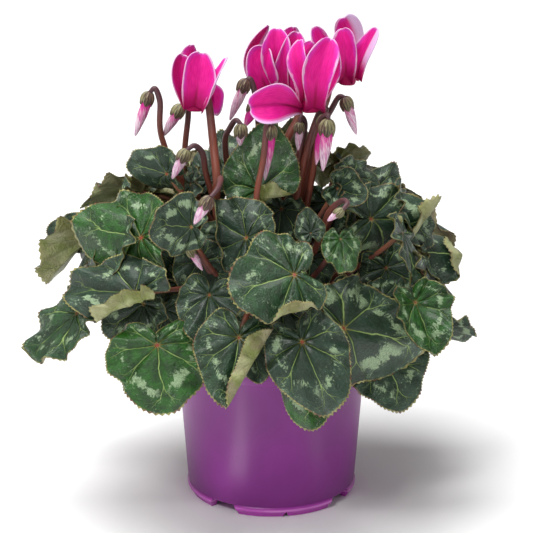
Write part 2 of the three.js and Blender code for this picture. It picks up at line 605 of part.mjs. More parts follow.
// Open flowers. mouth: sighted across, up and depth of the middle of the flower's mouth, with its
// radius; lean: how its tube leans in the picture; route: the stalk from the sepals down. petals:
// root, middle and tip as sighted, greatest width, and the roll at the root and at the tip.
const BLOOMS = [
  {
    mouth: [-46, 247, -13],
    radius: 6.5,
    lean: 0.05,
    route: [[-41, 263, -14], [-38, 252, -14], [-35, 225, -24], [-33, 202, -34], [-33, 186, -26]],
    petals: [
      { root: [-46, 248, -19], middle: [-44, 264, -24], tip: [-41, 280, -20], width: 19, roll: [0, 0] },
      { root: [-51, 249, -13], middle: [-55, 266, -14], tip: [-53, 280, -11], width: 13, roll: [-50, -50] },
      { root: [-47, 250, -8], middle: [-49, 270, -3], tip: [-47, 287, -5], width: 13, roll: [180, 130] },
      { root: [-42, 248, -18], middle: [-34, 262, -21], tip: [-27, 279, -15], width: 11, roll: [60, 100] },
      { root: [-42, 249, -9], middle: [-35, 256, -6], tip: [-34, 243, -8], width: 12, roll: [150, 150] },
    ],
  },
  {
    mouth: [4, 254, 15],
    radius: 7,
    lean: 0,
    route: [[10, 270, 20], [16, 258, 21], [16, 242, 14], [9, 226, 8]],
    petals: [
      { root: [-2, 256, 15], middle: [-14, 275, 14], tip: [-2, 299, 16], width: 12, roll: [-60, -60] },
      { root: [0, 256, 10], middle: [-6, 270, 3], tip: [-3, 284, 6], width: 15, roll: [0, 30] },
      { root: [6, 256, 10], middle: [3, 278, 4], tip: [3, 297, 9], width: 15, roll: [0, 0] },
      { root: [5, 258, 21], middle: [10, 280, 27], tip: [13, 298, 26], width: 14, roll: [180, 170] },
      { root: [10, 254, 12], middle: [11, 272, 5], tip: [15, 294, 8], width: 14, roll: [30, 20] },
    ],
  },
  {
    mouth: [23, 246, -16],
    radius: 6,
    lean: 0,
    route: [[27, 262, -9], [31, 252, -3], [26, 236, -5], [19, 212, -8]],
    petals: [
      { root: [18, 247, -17], middle: [17, 270, -22], tip: [18, 290, -15], width: 10, roll: [-40, 30] },
      { root: [26, 247, -21], middle: [28, 268, -28], tip: [35, 290, -21], width: 17, roll: [0, 0] },
      { root: [28, 248, -14], middle: [38, 265, -14], tip: [39, 284, -12], width: 10, roll: [70, 70] },
      { root: [18, 247, -20], middle: [4, 250, -40], tip: [-13, 248, -44], width: 24, roll: [0, 0] },
      { root: [21, 250, -12], middle: [18, 270, -7], tip: [24, 289, -4], width: 12, roll: [180, 180] },
    ],
  },
  {
    mouth: [45, 263, 16],
    radius: 5.5,
    lean: 0.05,
    route: [[41, 279, 22], [36, 270, 22], [33, 254, 12], [27, 236, 4]],
    petals: [
      { root: [46, 266, 20], middle: [47, 286, 25], tip: [43, 304, 21], width: 17, roll: [180, 160] },
      { root: [44, 265, 13], middle: [44, 281, 7], tip: [42, 297, 10], width: 12, roll: [0, 0] },
      { root: [51, 266, 15], middle: [55, 281, 13], tip: [63, 297, 13], width: 12, roll: [40, 60] },
      { root: [41, 266, 15], middle: [33, 280, 13], tip: [25, 298, 14], width: 13, roll: [-40, -20] },
      { root: [47, 267, 21], middle: [53, 278, 28], tip: [60, 287, 32], width: 13, roll: [180, 180] },
    ],
  },
];

const PETAL = 0.8;
const TUBE_LENGTH = 9;

// A petal's half width at a share of its length, against its greatest.
function petalWidth(share) {
  const waist = 0.4 + 0.6 * smooth(share / 0.55);
  const end = clamp((share - 0.62) / 0.38, 0, 1);
  return waist * Math.sqrt(1 - 0.95 * end ** 2.4);
}

// A petal as a cupped strip along a curve.
function petal({ root, middle, tip, width, roll }) {
  const [from, through, to] = [root, middle, tip].map((place) => sighted(...place));
  const control = through.clone().multiplyScalar(2).addScaledVector(from, -0.5).addScaledVector(to, -0.5);
  const line = new THREE.QuadraticBezierCurve3(from, control, to);
  const columns = [-1, -0.4, 0.4, 1];
  const rows = 5;
  const points = [];
  for (let row = 0; row <= rows; row++) {
    const share = row / rows;
    const point = line.getPoint(share);
    const along = line.getTangent(share);
    const side = along.clone().cross(EYE.clone().sub(point)).normalize();
    side.applyAxisAngle(along, -degToRad(lerp(roll[0], roll[1], share)));
    const facing = side.clone().cross(along);
    const half = (width / 2) * petalWidth(share);
    for (const column of columns) {
      const lifted = 0.35 * half * column * column;
      points.push(point.clone().addScaledVector(side, column * half).addScaledVector(facing, lifted));
    }
  }
  const triangles = [];
  const across = columns.length;
  for (let row = 0; row < rows; row++) {
    for (let column = 0; column + 1 < across; column++) {
      const corner = row * across + column;
      triangles.push([corner, corner + 1, corner + across + 1], [corner, corner + across + 1, corner + across]);
    }
  }
  return sheet(points, triangles, PETAL);
}

function tubeAxis({ lean }) {
  return new THREE.Vector3(lean, 0, 1).normalize();
}

function bloom(flower) {
  const mouth = sighted(...flower.mouth);
  const axis = tubeAxis(flower);
  const stations = [
    [0, 0.8],
    [1.5, 1],
    [5, 0.85],
    [TUBE_LENGTH, 0.4],
  ];
  const points = stations.map(([height]) => mouth.clone().addScaledVector(axis, height));
  const cup = tube(points, stations.map(([, share]) => share * flower.radius), 8);
  return geometryOf(wasm.Manifold.union([solid(cup), ...flower.petals.map((row) => solid(petal(row)))]));
}

// The sepals that hold a flower's tube, and where its stalk starts.
function sepals(flower) {
  const base = sighted(...flower.mouth).addScaledVector(tubeAxis(flower), TUBE_LENGTH + STALK_GAP);
  const heights = [0, 2, 4.5];
  const points = heights.map((height) => base.clone().addScaledVector(tubeAxis(flower), height));
  return { top: points[2], body: tube(points, [2.8, 2.6, 1.7], 6) };
}

function makeCrown() {
  const tuber = new THREE.SphereGeometry(TUBER_RADIUS, 12, 6).rotateX(Math.PI / 2);
  tuber.scale(1, 1, TUBER_HALF_HEIGHT / TUBER_RADIUS).translate(0, 0, TUBER_MIDDLE);
  const grown = [tuber, ...leaves.map(leafStalk)];
  for (const row of BUDS) grown.push(bud(row), sightedStalk([row.calyx, ...row.route], 1.8, 1.3));
  for (const flower of BLOOMS) {
    const { top, body } = sepals(flower);
    const join = tube([top.clone(), sighted(...flower.route[0])], [1.7, 1.7], 4);
    grown.push(body, sightedStalk(flower.route, 2.4, 1.7), join);
  }
  return geometryOf(largestOf(wasm.Manifold.union(grown.map(solid))));
}

const cyclamen = new THREE.Group();

function place(name, geometry, color, roughness) {
  const material = new THREE.MeshStandardMaterial({ color, roughness, metalness: 0 });
  const mesh = new THREE.Mesh(geometry, material);
  mesh.name = name;
  cyclamen.add(mesh);
}

place("pot", makePot(), 0x7d3c82, 0.35);
place("soil", makeSoil(), 0x2a1c14, 0.95);
place("crown", makeCrown(), 0x784132, 0.5);
BLOOMS.forEach((flower, number) => place("bloom_" + (number + 1), bloom(flower), 0xe1148c, 0.5));
for (const leaf of leaves) {
  const { points, triangles } = bladeSurface(leaf);
  const name = "leaf_" + String(leaf.number).padStart(2, "0");
  place(name, sheet(points, triangles, BLADE), 0x3c5a3c, 0.5);
}

export default cyclamen;
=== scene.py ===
import math

import bpy
import numpy as np
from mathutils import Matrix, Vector


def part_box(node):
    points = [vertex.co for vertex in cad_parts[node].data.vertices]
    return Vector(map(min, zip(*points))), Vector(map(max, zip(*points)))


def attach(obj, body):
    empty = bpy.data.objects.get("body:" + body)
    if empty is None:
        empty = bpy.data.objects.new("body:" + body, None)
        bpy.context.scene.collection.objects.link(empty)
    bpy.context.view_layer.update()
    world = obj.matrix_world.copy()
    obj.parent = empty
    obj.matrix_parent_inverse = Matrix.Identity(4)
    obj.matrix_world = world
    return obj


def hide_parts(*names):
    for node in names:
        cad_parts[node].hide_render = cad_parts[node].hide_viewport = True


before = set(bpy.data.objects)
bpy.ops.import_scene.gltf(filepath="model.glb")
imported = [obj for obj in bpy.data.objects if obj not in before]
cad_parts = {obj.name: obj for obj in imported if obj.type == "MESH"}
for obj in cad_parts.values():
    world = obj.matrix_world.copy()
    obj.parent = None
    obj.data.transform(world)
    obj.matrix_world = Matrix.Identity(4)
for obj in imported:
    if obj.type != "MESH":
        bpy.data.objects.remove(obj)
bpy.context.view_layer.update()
scene = bpy.context.scene

# Camera and sight lines
# The plant was looked at from the front and a little above, from far enough away that the pot's
# sides hardly converge. Places on the plant are read along lines of sight from the same eye, against
# an upright board through the pot's axis, and lie at a depth of their own.
MM = 0.001
EYE = np.array([-3.0, -1800.0, 798.0])
LOOKED_AT = np.array([-3.0, 0.0, 144.6])
LENS = 211.9
SENSOR_WIDTH = 36
CLIP_END_METRES = 30
BOARD_DROP = 2


def sighted(across, up, depth):
    on_board = np.array([across, 0, up - BOARD_DROP])
    return EYE + (on_board - EYE) * (depth - EYE[1]) / -EYE[1]


camera_data = bpy.data.cameras.new("camera")
camera_data.lens = LENS
camera_data.sensor_width = SENSOR_WIDTH
camera_data.clip_end = CLIP_END_METRES
camera = bpy.data.objects.new("camera", camera_data)
camera.location = EYE * MM
camera.rotation_euler = Vector(LOOKED_AT - EYE).to_track_quat("-Z", "Y").to_euler()
scene.collection.objects.link(camera)
scene.camera = camera

# Floor and light
# A seamless white table under one broad lamp and a small one in front, with the room's pale walls
# round it. Two narrow strips of light lie on the table, out of sight, and show in the pot's wall as
# pale upright stripes. Lengths are in metres here.
FLOOR_SIDE = 30
FLOOR_COLOUR = (0.9, 0.9, 0.9, 1)
FLOOR_ROUGHNESS = 0.9
ROOM_COLOUR = (1, 1, 1, 1)
ROOM_LIGHT = 0.37
# name: place, width and height, power (W), what it is aimed at
LAMPS = {
    "lamp_above": ((-0.5, 0.1, 2.4), (1.9, 1.6), 74, (0, 0.1, 0)),
    "lamp_front": ((-0.7, -1.6, 1.8), (0.5, 0.5), 18, (0, 0, 0.12)),
    "strip_left": ((-0.1, -0.154, 0.003), (0.026, 0.22), 0.062, (-0.0946, -0.1457, 1)),
    "strip_right": ((0.13, -0.118, 0.003), (0.02, 0.18), 0.014, (0.1226, -0.1113, 1)),
}

world = bpy.data.worlds.new("room")
world.use_nodes = True
air = world.node_tree.nodes["Background"]
air.inputs["Color"].default_value = ROOM_COLOUR
air.inputs["Strength"].default_value = ROOM_LIGHT
scene.world = world
scene.view_settings.view_transform = "Standard"
for lamp_name, (spot, (lamp_width, lamp_height), power, aim) in LAMPS.items():
    lamp_data = bpy.data.lights.new(lamp_name, "AREA")
    lamp_data.shape = "RECTANGLE"
    lamp_data.size = lamp_width
    lamp_data.size_y = lamp_height
    lamp_data.energy = power
    lamp = bpy.data.objects.new(lamp_name, lamp_data)
    lamp.location = spot
    lamp.visible_camera = False
    lamp.rotation_euler = (Vector(aim) - Vector(spot)).to_track_quat("-Z", "Y").to_euler()
    scene.collection.objects.link(lamp)

floor_mesh = bpy.data.meshes.new("floor")
half_side = FLOOR_SIDE / 2
floor_corners = [(x * half_side, y * half_side, 0) for x, y in ((-1, -1), (1, -1), (1, 1), (-1, 1))]
floor_mesh.from_pydata(floor_corners, [], [(0, 1, 2, 3)])
floor_paint = bpy.data.materials.new("floor_paint")
floor_paint.use_nodes = True
paint = floor_paint.node_tree.nodes["Principled BSDF"]
paint.inputs["Base Color"].default_value = FLOOR_COLOUR
paint.inputs["Roughness"].default_value = FLOOR_ROUGHNESS
floor_mesh.materials.append(floor_paint)
floor = bpy.data.objects.new("floor", floor_mesh)
scene.collection.objects.link(floor)

# Pot
# A thin nursery pot, injection moulded in one piece from purple polypropylene: a tapering wall with
# a band at the rim, a raised floor with drain holes, and four feet with notches between them, which
# are so thin that light comes through. That light is painted into the feet's colour as a brighter
# magenta, and a painted highlight runs along each foot's bead.
RIM_RADIUS = 60
POT_HEIGHT = 98
BAND_HEIGHT = 8.4
WALL_TOP_RADIUS = 58
WALL_LOW_RADIUS = 51.8
FOOT_HEIGHT = 6
WALL = 1.5
PAD_RADIUS = 22
FEET = 4
FOOT_TURN = 10
FOOT_SPAN = 73
FOOT_NOTCH = 4
FOOT_SLOPE = 3.5
FOOT_STEPS = 18
DRAIN_HOLES = 6
DRAIN_RADIUS = 4
DRAIN_RING = 37
DRAIN_SIDES = 32
DRILL_REACH = 3
POT_SEGMENTS = 120


class Shade:
    """A socket of a shader's nodes, which sums and products can be written with."""

    def __init__(self, tree, socket=None):
        self.tree = tree
        self.socket = socket

    def node(self, kind, settings=None, given=None, output=0):
        """The output of a new node, made with its settings and then its sockets' values or links."""
        made = self.tree.nodes.new(kind)
        for setting, value in (settings or {}).items():
            setattr(made, setting, value)
        for socket, value in (given or {}).items():
            if isinstance(value, Shade):
                self.tree.links.new(value.socket, made.inputs[socket])
            else:
                made.inputs[socket].default_value = value
        return Shade(self.tree, made.outputs[output])

    def maths(self, operation, *values):
        return self.node("ShaderNodeMath", {"operation": operation}, dict(enumerate(values)))

    def __add__(self, other):
        return self.maths("ADD", self, other)

    def __sub__(self, other):
        return self.maths("SUBTRACT", self, other)

    def __rsub__(self, other):
        return self.maths("SUBTRACT", other, self)

    def __mul__(self, other):
        return self.maths("MULTIPLY", self, other)

    def __truediv__(self, other):
        return self.maths("DIVIDE", self, other)

    def __pow__(self, other):
        return self.maths("POWER", self, other)

    def __abs__(self):
        return self.maths("ABSOLUTE", self)

    __radd__ = __add__
    __rmul__ = __mul__

    def most(self, other):
        return self.maths("MAXIMUM", self, other)

    def between(self, low, high):
        """0 below the low value, 1 above the high one, and a smooth step from one to the other."""
        steps = {"interpolation_type": "SMOOTHSTEP"}
        given = {"Value": self, "From Min": low, "From Max": high}
        return self.node("ShaderNodeMapRange", steps, given)

    def mixed(self, first, other):
        """The first colour where this value is 0 and the other where it is 1."""
        return self.node("ShaderNodeMix", {"data_type": "RGBA"}, {0: self, 6: first, 7: other}, 2)

    def place(self):
        return self.node("ShaderNodeTexCoord", output="Object")

    def noise(self, scale, detail=2, roughness=0.5):
        given = {"Vector": self, "Scale": scale, "Detail": detail, "Roughness": roughness}
        return self.node("ShaderNodeTexNoise", {}, given)

    def cells(self, scale, feature="F1"):
        given = {"Vector": self, "Scale": scale}
        return self.node("ShaderNodeTexVoronoi", {"feature": feature}, given, "Distance")

    def bumps(self, distance, strength):
        given = {"Height": self, "Distance": distance, "Strength": strength}
        return self.node("ShaderNodeBump", {}, given)

    def vector(self, x, y, z):
        return self.node("ShaderNodeCombineXYZ", {}, {"X": x, "Y": y, "Z": z})

    def parts(self):
        given = {"Vector": self}
        return [self.node("ShaderNodeSeparateXYZ", {}, given, axis) for axis in range(3)]

    def attribute(self, name):
        return self.node("ShaderNodeAttribute", {"attribute_name": name}, {}, "Vector")


def colour(red, green, blue):
    """A colour as read from a screen, 0 to 255, as the shader takes it."""
    parts = [value / 255 for value in (red, green, blue)]
    lit = [part / 12.92 if part <= 0.04045 else ((part + 0.055) / 1.055) ** 2.4 for part in parts]
    return (*lit, 1)


def new_material(name, **constants):
    """A material, its nodes to write with, and a function that feeds the shader's sockets."""
    material = bpy.data.materials.new(name)
    material.use_nodes = True
    tree = material.node_tree
    skin = tree.nodes["Principled BSDF"]
    for socket, value in constants.items():
        skin.inputs[socket.replace("_", " ")].default_value = value

    def feed(**links):
        for socket, value in links.items():
            tree.links.new(value.socket, skin.inputs[socket.replace("_", " ")])

    return material, Shade(tree), feed


def shaped(name, points, faces, material, sharp=40, **attributes):
    """A smooth-shaded object from points in millimetres. Each attribute is a vector a point."""
    mesh = bpy.data.meshes.new(name)
    mesh.from_pydata((np.asarray(points) * MM).tolist(), [], faces)
    mesh.shade_smooth()
    mesh.set_sharp_from_angle(angle=math.radians(sharp))
    for key, values in attributes.items():
        layer = mesh.attributes.new(key, "FLOAT_VECTOR", "POINT")
        layer.data.foreach_set("vector", np.asarray(values, float).ravel())
    mesh.materials.append(material)
    piece = bpy.data.objects.new(name, mesh)
    scene.collection.objects.link(piece)
    return piece


def turned_faces(rings, segments, closed=True):
    """The quads between rings, or open rows, of equally many points."""
    faces = []
    for ring in range(rings - 1):
        for place in range(segments if closed else segments - 1):
            after = (place + 1) % segments
            a, b = ring * segments + place, ring * segments + after
            faces.append((a, b, b + segments, a + segments))
    return faces


def capped_faces(rings, segments):
    """The quads between rings, and a face at each end."""
    last = (rings - 1) * segments
    ends = (tuple(range(segments))[::-1], tuple(range(last, last + segments)))
    return [*turned_faces(rings, segments), *ends]


def turned(profile, segments):
    """A solid turned about the pot's axis. The profile starts and ends on the axis."""
    angles = np.linspace(0, 2 * math.pi, segments, endpoint=False)
    rings = [
        np.stack([radius * np.sin(angles), -radius * np.cos(angles), np.full(segments, height)], 1)
        for radius, height in profile[1:-1]
    ]
    points = [*np.concatenate(rings), (0, 0, profile[0][1]), (0, 0, profile[-1][1])]
    faces = turned_faces(len(rings), segments)
    first, last = len(points) - 2, len(points) - 1
    top = (len(rings) - 1) * segments
    for place in range(segments):
        after = (place + 1) % segments
        faces.append((first, after, place))
        faces.append((last, top + place, top + after))
    return points, faces


def foot_half(start, end):
    """Half a foot between two angles in degrees: a bead proud of the wall, drawn in at the bottom."""
    section = [
        (WALL_LOW_RADIUS - 5, FOOT_HEIGHT + 0.6),
        (WALL_LOW_RADIUS - 0.3, FOOT_HEIGHT + 0.6),
        (WALL_LOW_RADIUS + 0.3, FOOT_HEIGHT),
        (WALL_LOW_RADIUS + 0.6, FOOT_HEIGHT - 1.2),
        (WALL_LOW_RADIUS + 0.5, FOOT_HEIGHT - 2.4),
        (WALL_LOW_RADIUS - 0.4, FOOT_HEIGHT - 3.4),
        (WALL_LOW_RADIUS - 1.1, FOOT_HEIGHT - 4),
        (WALL_LOW_RADIUS - 1.5, 0.5),
        (WALL_LOW_RADIUS - 2, 0),
        (WALL_LOW_RADIUS - 5, 0),
    ]
    points = []
    for step in range(FOOT_STEPS + 1):
        share = step / FOOT_STEPS
        for radius, height in section:
            drawn = FOOT_SLOPE * (1 - height / (FOOT_HEIGHT + 1))
            angle = math.radians((start + drawn) * (1 - share) + (end - drawn) * share)
            points.append((radius * math.sin(angle), -radius * math.cos(angle), height))
    return points, capped_faces(FOOT_STEPS + 1, len(section))


def joined(shapes):
    """Several lists of points and faces as one."""
    points, faces = [], []
    for more_points, more_faces in shapes:
        start = len(points)
        points.extend(more_points)
        faces.extend(tuple(corner + start for corner in face) for face in more_faces)
    return points, faces


band_low = POT_HEIGHT - BAND_HEIGHT
pot_profile = [
    (0, 0),
    (PAD_RADIUS - 0.5, 0),
    (PAD_RADIUS, 0.4),
    (PAD_RADIUS + 1.2, FOOT_HEIGHT - 0.4),
    (PAD_RADIUS + 1.8, FOOT_HEIGHT),
    (WALL_LOW_RADIUS - 1.4, FOOT_HEIGHT),
    (WALL_LOW_RADIUS - 0.5, FOOT_HEIGHT + 0.3),
    (WALL_LOW_RADIUS, FOOT_HEIGHT + 1.2),
    (WALL_TOP_RADIUS, band_low - 0.2),
    (RIM_RADIUS - 0.9, band_low),
    (RIM_RADIUS - 0.6, band_low + 0.6),
    (RIM_RADIUS - 0.1, POT_HEIGHT - 0.8),
    (RIM_RADIUS - 0.3, POT_HEIGHT - 0.2),
    (RIM_RADIUS - 0.6, POT_HEIGHT),
    (RIM_RADIUS - WALL + 0.4, POT_HEIGHT),
    (RIM_RADIUS - WALL, POT_HEIGHT - 0.6),
    (RIM_RADIUS - 0.6 - WALL, band_low + 1.6),
    (WALL_TOP_RADIUS - WALL, band_low),
    (WALL_LOW_RADIUS - WALL, FOOT_HEIGHT + WALL),
    (PAD_RADIUS + 0.2, FOOT_HEIGHT + WALL),
    (PAD_RADIUS - WALL, WALL),
    (0, WALL),
]
foot_halves = []
for foot in range(FEET):
    middle = FOOT_TURN + foot * 360 / FEET
    foot_halves.append(foot_half(middle - FOOT_SPAN / 2, middle + FOOT_SLOPE - FOOT_NOTCH / 2))
    foot_halves.append(foot_half(middle - FOOT_SLOPE + FOOT_NOTCH / 2, middle + FOOT_SPAN / 2))

POT_PURPLE = colour(122, 34, 124)
POT_DEEP = colour(112, 30, 114)
FOOT_LIT_THROUGH = colour(182, 62, 176)
FOOT_HIGHLIGHT = colour(226, 150, 220)
plastic, shade, feed = new_material("purple_plastic", IOR=1.4, Coat_Weight=0.16, Coat_Roughness=0.22)
spot = shade.place()
height = spot.parts()[2]
cloud = spot.noise(18, 3)
scuffs = spot.noise(900)
wall_colour = cloud.between(0.35, 0.65).mixed(POT_DEEP, POT_PURPLE)
# painted light: below the wall the feet are coloured a brighter magenta, standing in for light that
# shines through the thin plastic; the same band is also made glossier
glow = 1 - height.between(0.0045, 0.0075)
# painted highlight: a pale band along the upper slope of each foot's bead stands in for the gloss of
# light there
painted_highlight = height.between(0.0034, 0.0044) * (1 - height.between(0.0046, 0.0056))
painted_highlight = painted_highlight * (0.3 + 0.7 * cloud.between(0.4, 0.6))
feed(
    Base_Color=(0.7 * painted_highlight).mixed(glow.mixed(wall_colour, FOOT_LIT_THROUGH), FOOT_HIGHLIGHT),
    Roughness=0.4 - 0.27 * glow + 0.06 * cloud + 0.06 * scuffs,
    Normal=spot.noise(300, 4).bumps(0.0001, 0.12),
)

pot = shaped("nursery_pot", *turned(pot_profile, POT_SEGMENTS), plastic)
drill_shapes = []
for hole in range(DRAIN_HOLES):
    bearing = (hole + 0.5) / DRAIN_HOLES * 2 * math.pi
    centre = np.array([DRAIN_RING * math.cos(bearing), DRAIN_RING * math.sin(bearing), 0])
    around = np.linspace(0, 2 * math.pi, DRAIN_SIDES, endpoint=False)
    ring = np.stack([DRAIN_RADIUS * np.cos(around), DRAIN_RADIUS * np.sin(around), 0 * around], 1)
    low, high = [centre + ring + (0, 0, FOOT_HEIGHT + rise) for rise in (-DRILL_REACH, DRILL_REACH)]
    drill_shapes.append(([*low, *high], capped_faces(2, DRAIN_SIDES)))
drill = shaped("drill", *joined(drill_shapes), plastic)
cut = pot.modifiers.new("drain_holes", "BOOLEAN")
cut.operation = "DIFFERENCE"
cut.solver = "EXACT"
cut.object = drill
bpy.context.view_layer.objects.active = pot
bpy.ops.object.modifier_apply(modifier=cut.name)
bpy.data.objects.remove(drill)
feet = shaped("pot_feet", *joined(foot_halves), plastic)
for piece in (pot, feet):
    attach(piece, "root")
    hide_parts("pot")

# Soil
# Loose peat with grit in it, heaped a little round the tuber and pressed against the pot's wall. The
# tuber sits in a hollow of it.
SOIL_EDGE = 86
SOIL_MOUND = 3
SOIL_GAP = 0.4
SHELF_RADIUS = 46
SHELF_RISE = 1.5
HEAP_RADIUS = 35
HOLLOW_FROM, HOLLOW_TO = 4, 86
HOLLOW_RINGS = 10
TUBER_RADIUS = 21
TUBER_HALF_HEIGHT = 12
TUBER_MIDDLE = 86
TUBER_GAP = 0.8
SOIL_RINGS = 34
SOIL_SEGMENTS = 160


def wall_inside(level):
    share = (level - FOOT_HEIGHT - WALL) / (band_low - FOOT_HEIGHT - WALL)
    return WALL_LOW_RADIUS + (WALL_TOP_RADIUS - WALL_LOW_RADIUS) * share - WALL


def crumbs(x, y):
    """The soil's unevenness as a height that depends on the place."""
    slow = 1.1 * np.sin(0.61 * x + 1.3) * np.cos(0.53 * y) + 0.8 * np.sin(0.37 * x - 0.83 * y)
    fine = 0.35 * np.sin(2.3 * x + 0.7 * y) * np.sin(1.9 * y - 0.8 * x)
    fine = fine + 0.2 * np.sin(4.1 * x) * np.cos(3.7 * y)
    return slow + fine


soil_floor = FOOT_HEIGHT + WALL + SOIL_GAP
hollow = TUBER_RADIUS + TUBER_GAP
hollow_deep = TUBER_HALF_HEIGHT + TUBER_GAP
brink = SOIL_EDGE + SOIL_MOUND
brink_radius = hollow * math.sqrt(1 - ((brink - TUBER_MIDDLE) / hollow_deep) ** 2)
soil_radius = wall_inside(SOIL_EDGE) - SOIL_GAP
soil_profile = [(0, soil_floor), (wall_inside(soil_floor) - 2 * SOIL_GAP, soil_floor)]
shelf = (SHELF_RADIUS, SOIL_EDGE + SHELF_RISE)
surface = [(soil_radius, SOIL_EDGE), shelf, (HEAP_RADIUS, brink), (brink_radius, brink)]
for share in np.linspace(0, 1, SOIL_RINGS):
    radius = soil_radius + (brink_radius - soil_radius) * share
    level = np.interp(-radius, [-place for place, _ in surface], [high for _, high in surface])
    soil_profile.append((radius, level))
for turn in np.linspace(HOLLOW_FROM, HOLLOW_TO, HOLLOW_RINGS):
    angle = math.radians(turn)
    soil_profile.append((hollow * math.cos(angle), TUBER_MIDDLE - hollow_deep * math.sin(angle)))
soil_profile.append((0, TUBER_MIDDLE - hollow_deep))
soil_points, soil_faces = turned(soil_profile, SOIL_SEGMENTS)
soil_points = np.array(soil_points)
spread = np.hypot(soil_points[:, 0], soil_points[:, 1])
loose = (soil_points[:, 2] > SOIL_EDGE - 0.5) & (spread > hollow)
soil_points[loose, 2] += crumbs(soil_points[loose, 0], soil_points[loose, 1]).clip(-1.5, 2) * 0.9

PEAT = colour(44, 30, 22)
PEAT_DARK = colour(20, 13, 10)
GRIT = colour(120, 100, 84)
peat, shade, feed = new_material("peat")
spot = shade.place()
lumps = spot.noise(160, 6, 0.7)
stones = 1 - spot.cells(140).between(0.1, 0.16)
peat_colour = lumps.between(0.35, 0.65).mixed(PEAT_DARK, PEAT)
feed(
    Base_Color=(stones * spot.noise(60).between(0.55, 0.6)).mixed(peat_colour, GRIT),
    Roughness=0.85 + 0.12 * lumps,
    Normal=(lumps + spot.cells(320)).bumps(0.001, 0.8),
)
soil = shaped("soil_bed", soil_points, soil_faces, peat, sharp=180)
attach(soil, "root")
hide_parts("soil")

# Tuber
# The round, flattened corky tuber sits half in the soil. All the stalks come out of its top.
TUBER_SEGMENTS = 64
TUBER_RINGS = 30

tuber_profile = [(0, TUBER_MIDDLE - TUBER_HALF_HEIGHT)]
for ring in range(1, TUBER_RINGS):
    angle = math.pi * ring / TUBER_RINGS
    level = TUBER_MIDDLE - TUBER_HALF_HEIGHT * math.cos(angle)
    tuber_profile.append((TUBER_RADIUS * math.sin(angle), level))
tuber_profile.append((0, TUBER_MIDDLE + TUBER_HALF_HEIGHT))
tuber_points, tuber_faces = turned(tuber_profile, TUBER_SEGMENTS)
tuber_points = np.array(tuber_points)
x, y, z = tuber_points.T
warts = np.sin(0.9 * x + 2) * np.sin(0.8 * y) * np.cos(0.7 * z)
centred = tuber_points - (0, 0, TUBER_MIDDLE)
tuber_points = (0, 0, TUBER_MIDDLE) + centred * (1 + 0.02 * warts - 0.02)[:, None]

CORK = colour(92, 66, 48)
CORK_DARK = colour(48, 32, 24)
cork, shade, feed = new_material("cork")
spot = shade.place()
cracks = spot.noise(220, 6, 0.65)
feed(
    Base_Color=cracks.between(0.38, 0.62).mixed(CORK_DARK, CORK),
    Roughness=0.75 + 0.2 * cracks,
    Normal=cracks.bumps(0.0012, 0.7),
)
tuber = shaped("tuber", tuber_points, tuber_faces, cork, sharp=180)
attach(tuber, "root")
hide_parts("crown")

# Leaves
# Heart-shaped, fleshy blades with finely toothed edges, each on a stalk of its own: dark green with a
# bluish bloom, partly painted as a pale grey-blue sheen, silver marbling between pale veins, and an
# olive or purplish underside. Each hangs behind the ones before it, and some are folded over so that
# the underside shows.
HEAP = {"across": -12, "up": 130, "wide": 132, "deep": 108, "above": 112, "below": 150}
HEAP_DEPTHS = range(-140, 61, 2)
EYE_ABOVE = np.array([0, 0, 1800.0])
# how far a leaf is rolled about its length, cupped, folded, tilted, drooping and waved (degrees)
PLAIN_LEAF = {"roll": 0, "cup": 0, "fold": 0, "side": 0, "droop": 0, "wave": 5}
BLADE_THICK = 0.6
FOLD_RADIUS = 0.05
RAY_STEPS = 20
SINUS = math.radians(176)
BLADE_SHARES = [0.04, 0.1, 0.18, 0.26, 0.34, 0.42, 0.5, 0.58, 0.66, 0.74, 0.82, 0.9, 0.965, 1]
BLADE_SPOKES = 192
SPARE_SHARES = [0.06, 0.16, 0.28, 0.42, 0.56, 0.7, 0.83, 0.93, 1]
SPARE_SPOKES = 96
SOLID_SHARES = [0.42, 0.76, 1]
SOLID_SPOKES = 28
LOBE = 0.42
TOOTH = 0.021
VEIN_TURN = math.radians(45)
FORK = 0.52
FORK_WIDTH = 0.27
QUILT = 0.13
RUFFLE = 0.062


def leaf_at(stalk, tip, wide=0.96, folds=(), bow=(0, 0, 0), **form):
    """A leaf's places across, up and behind the heap's face, or behind the stalk for its tip.

    A fold is its direction, how far out it is, and its angle. The bow is the stalk's (mm).
    """
    return {**PLAIN_LEAF, **form, "stalk": stalk, "tip": tip, "wide": wide, "folds": folds, "bow": bow}


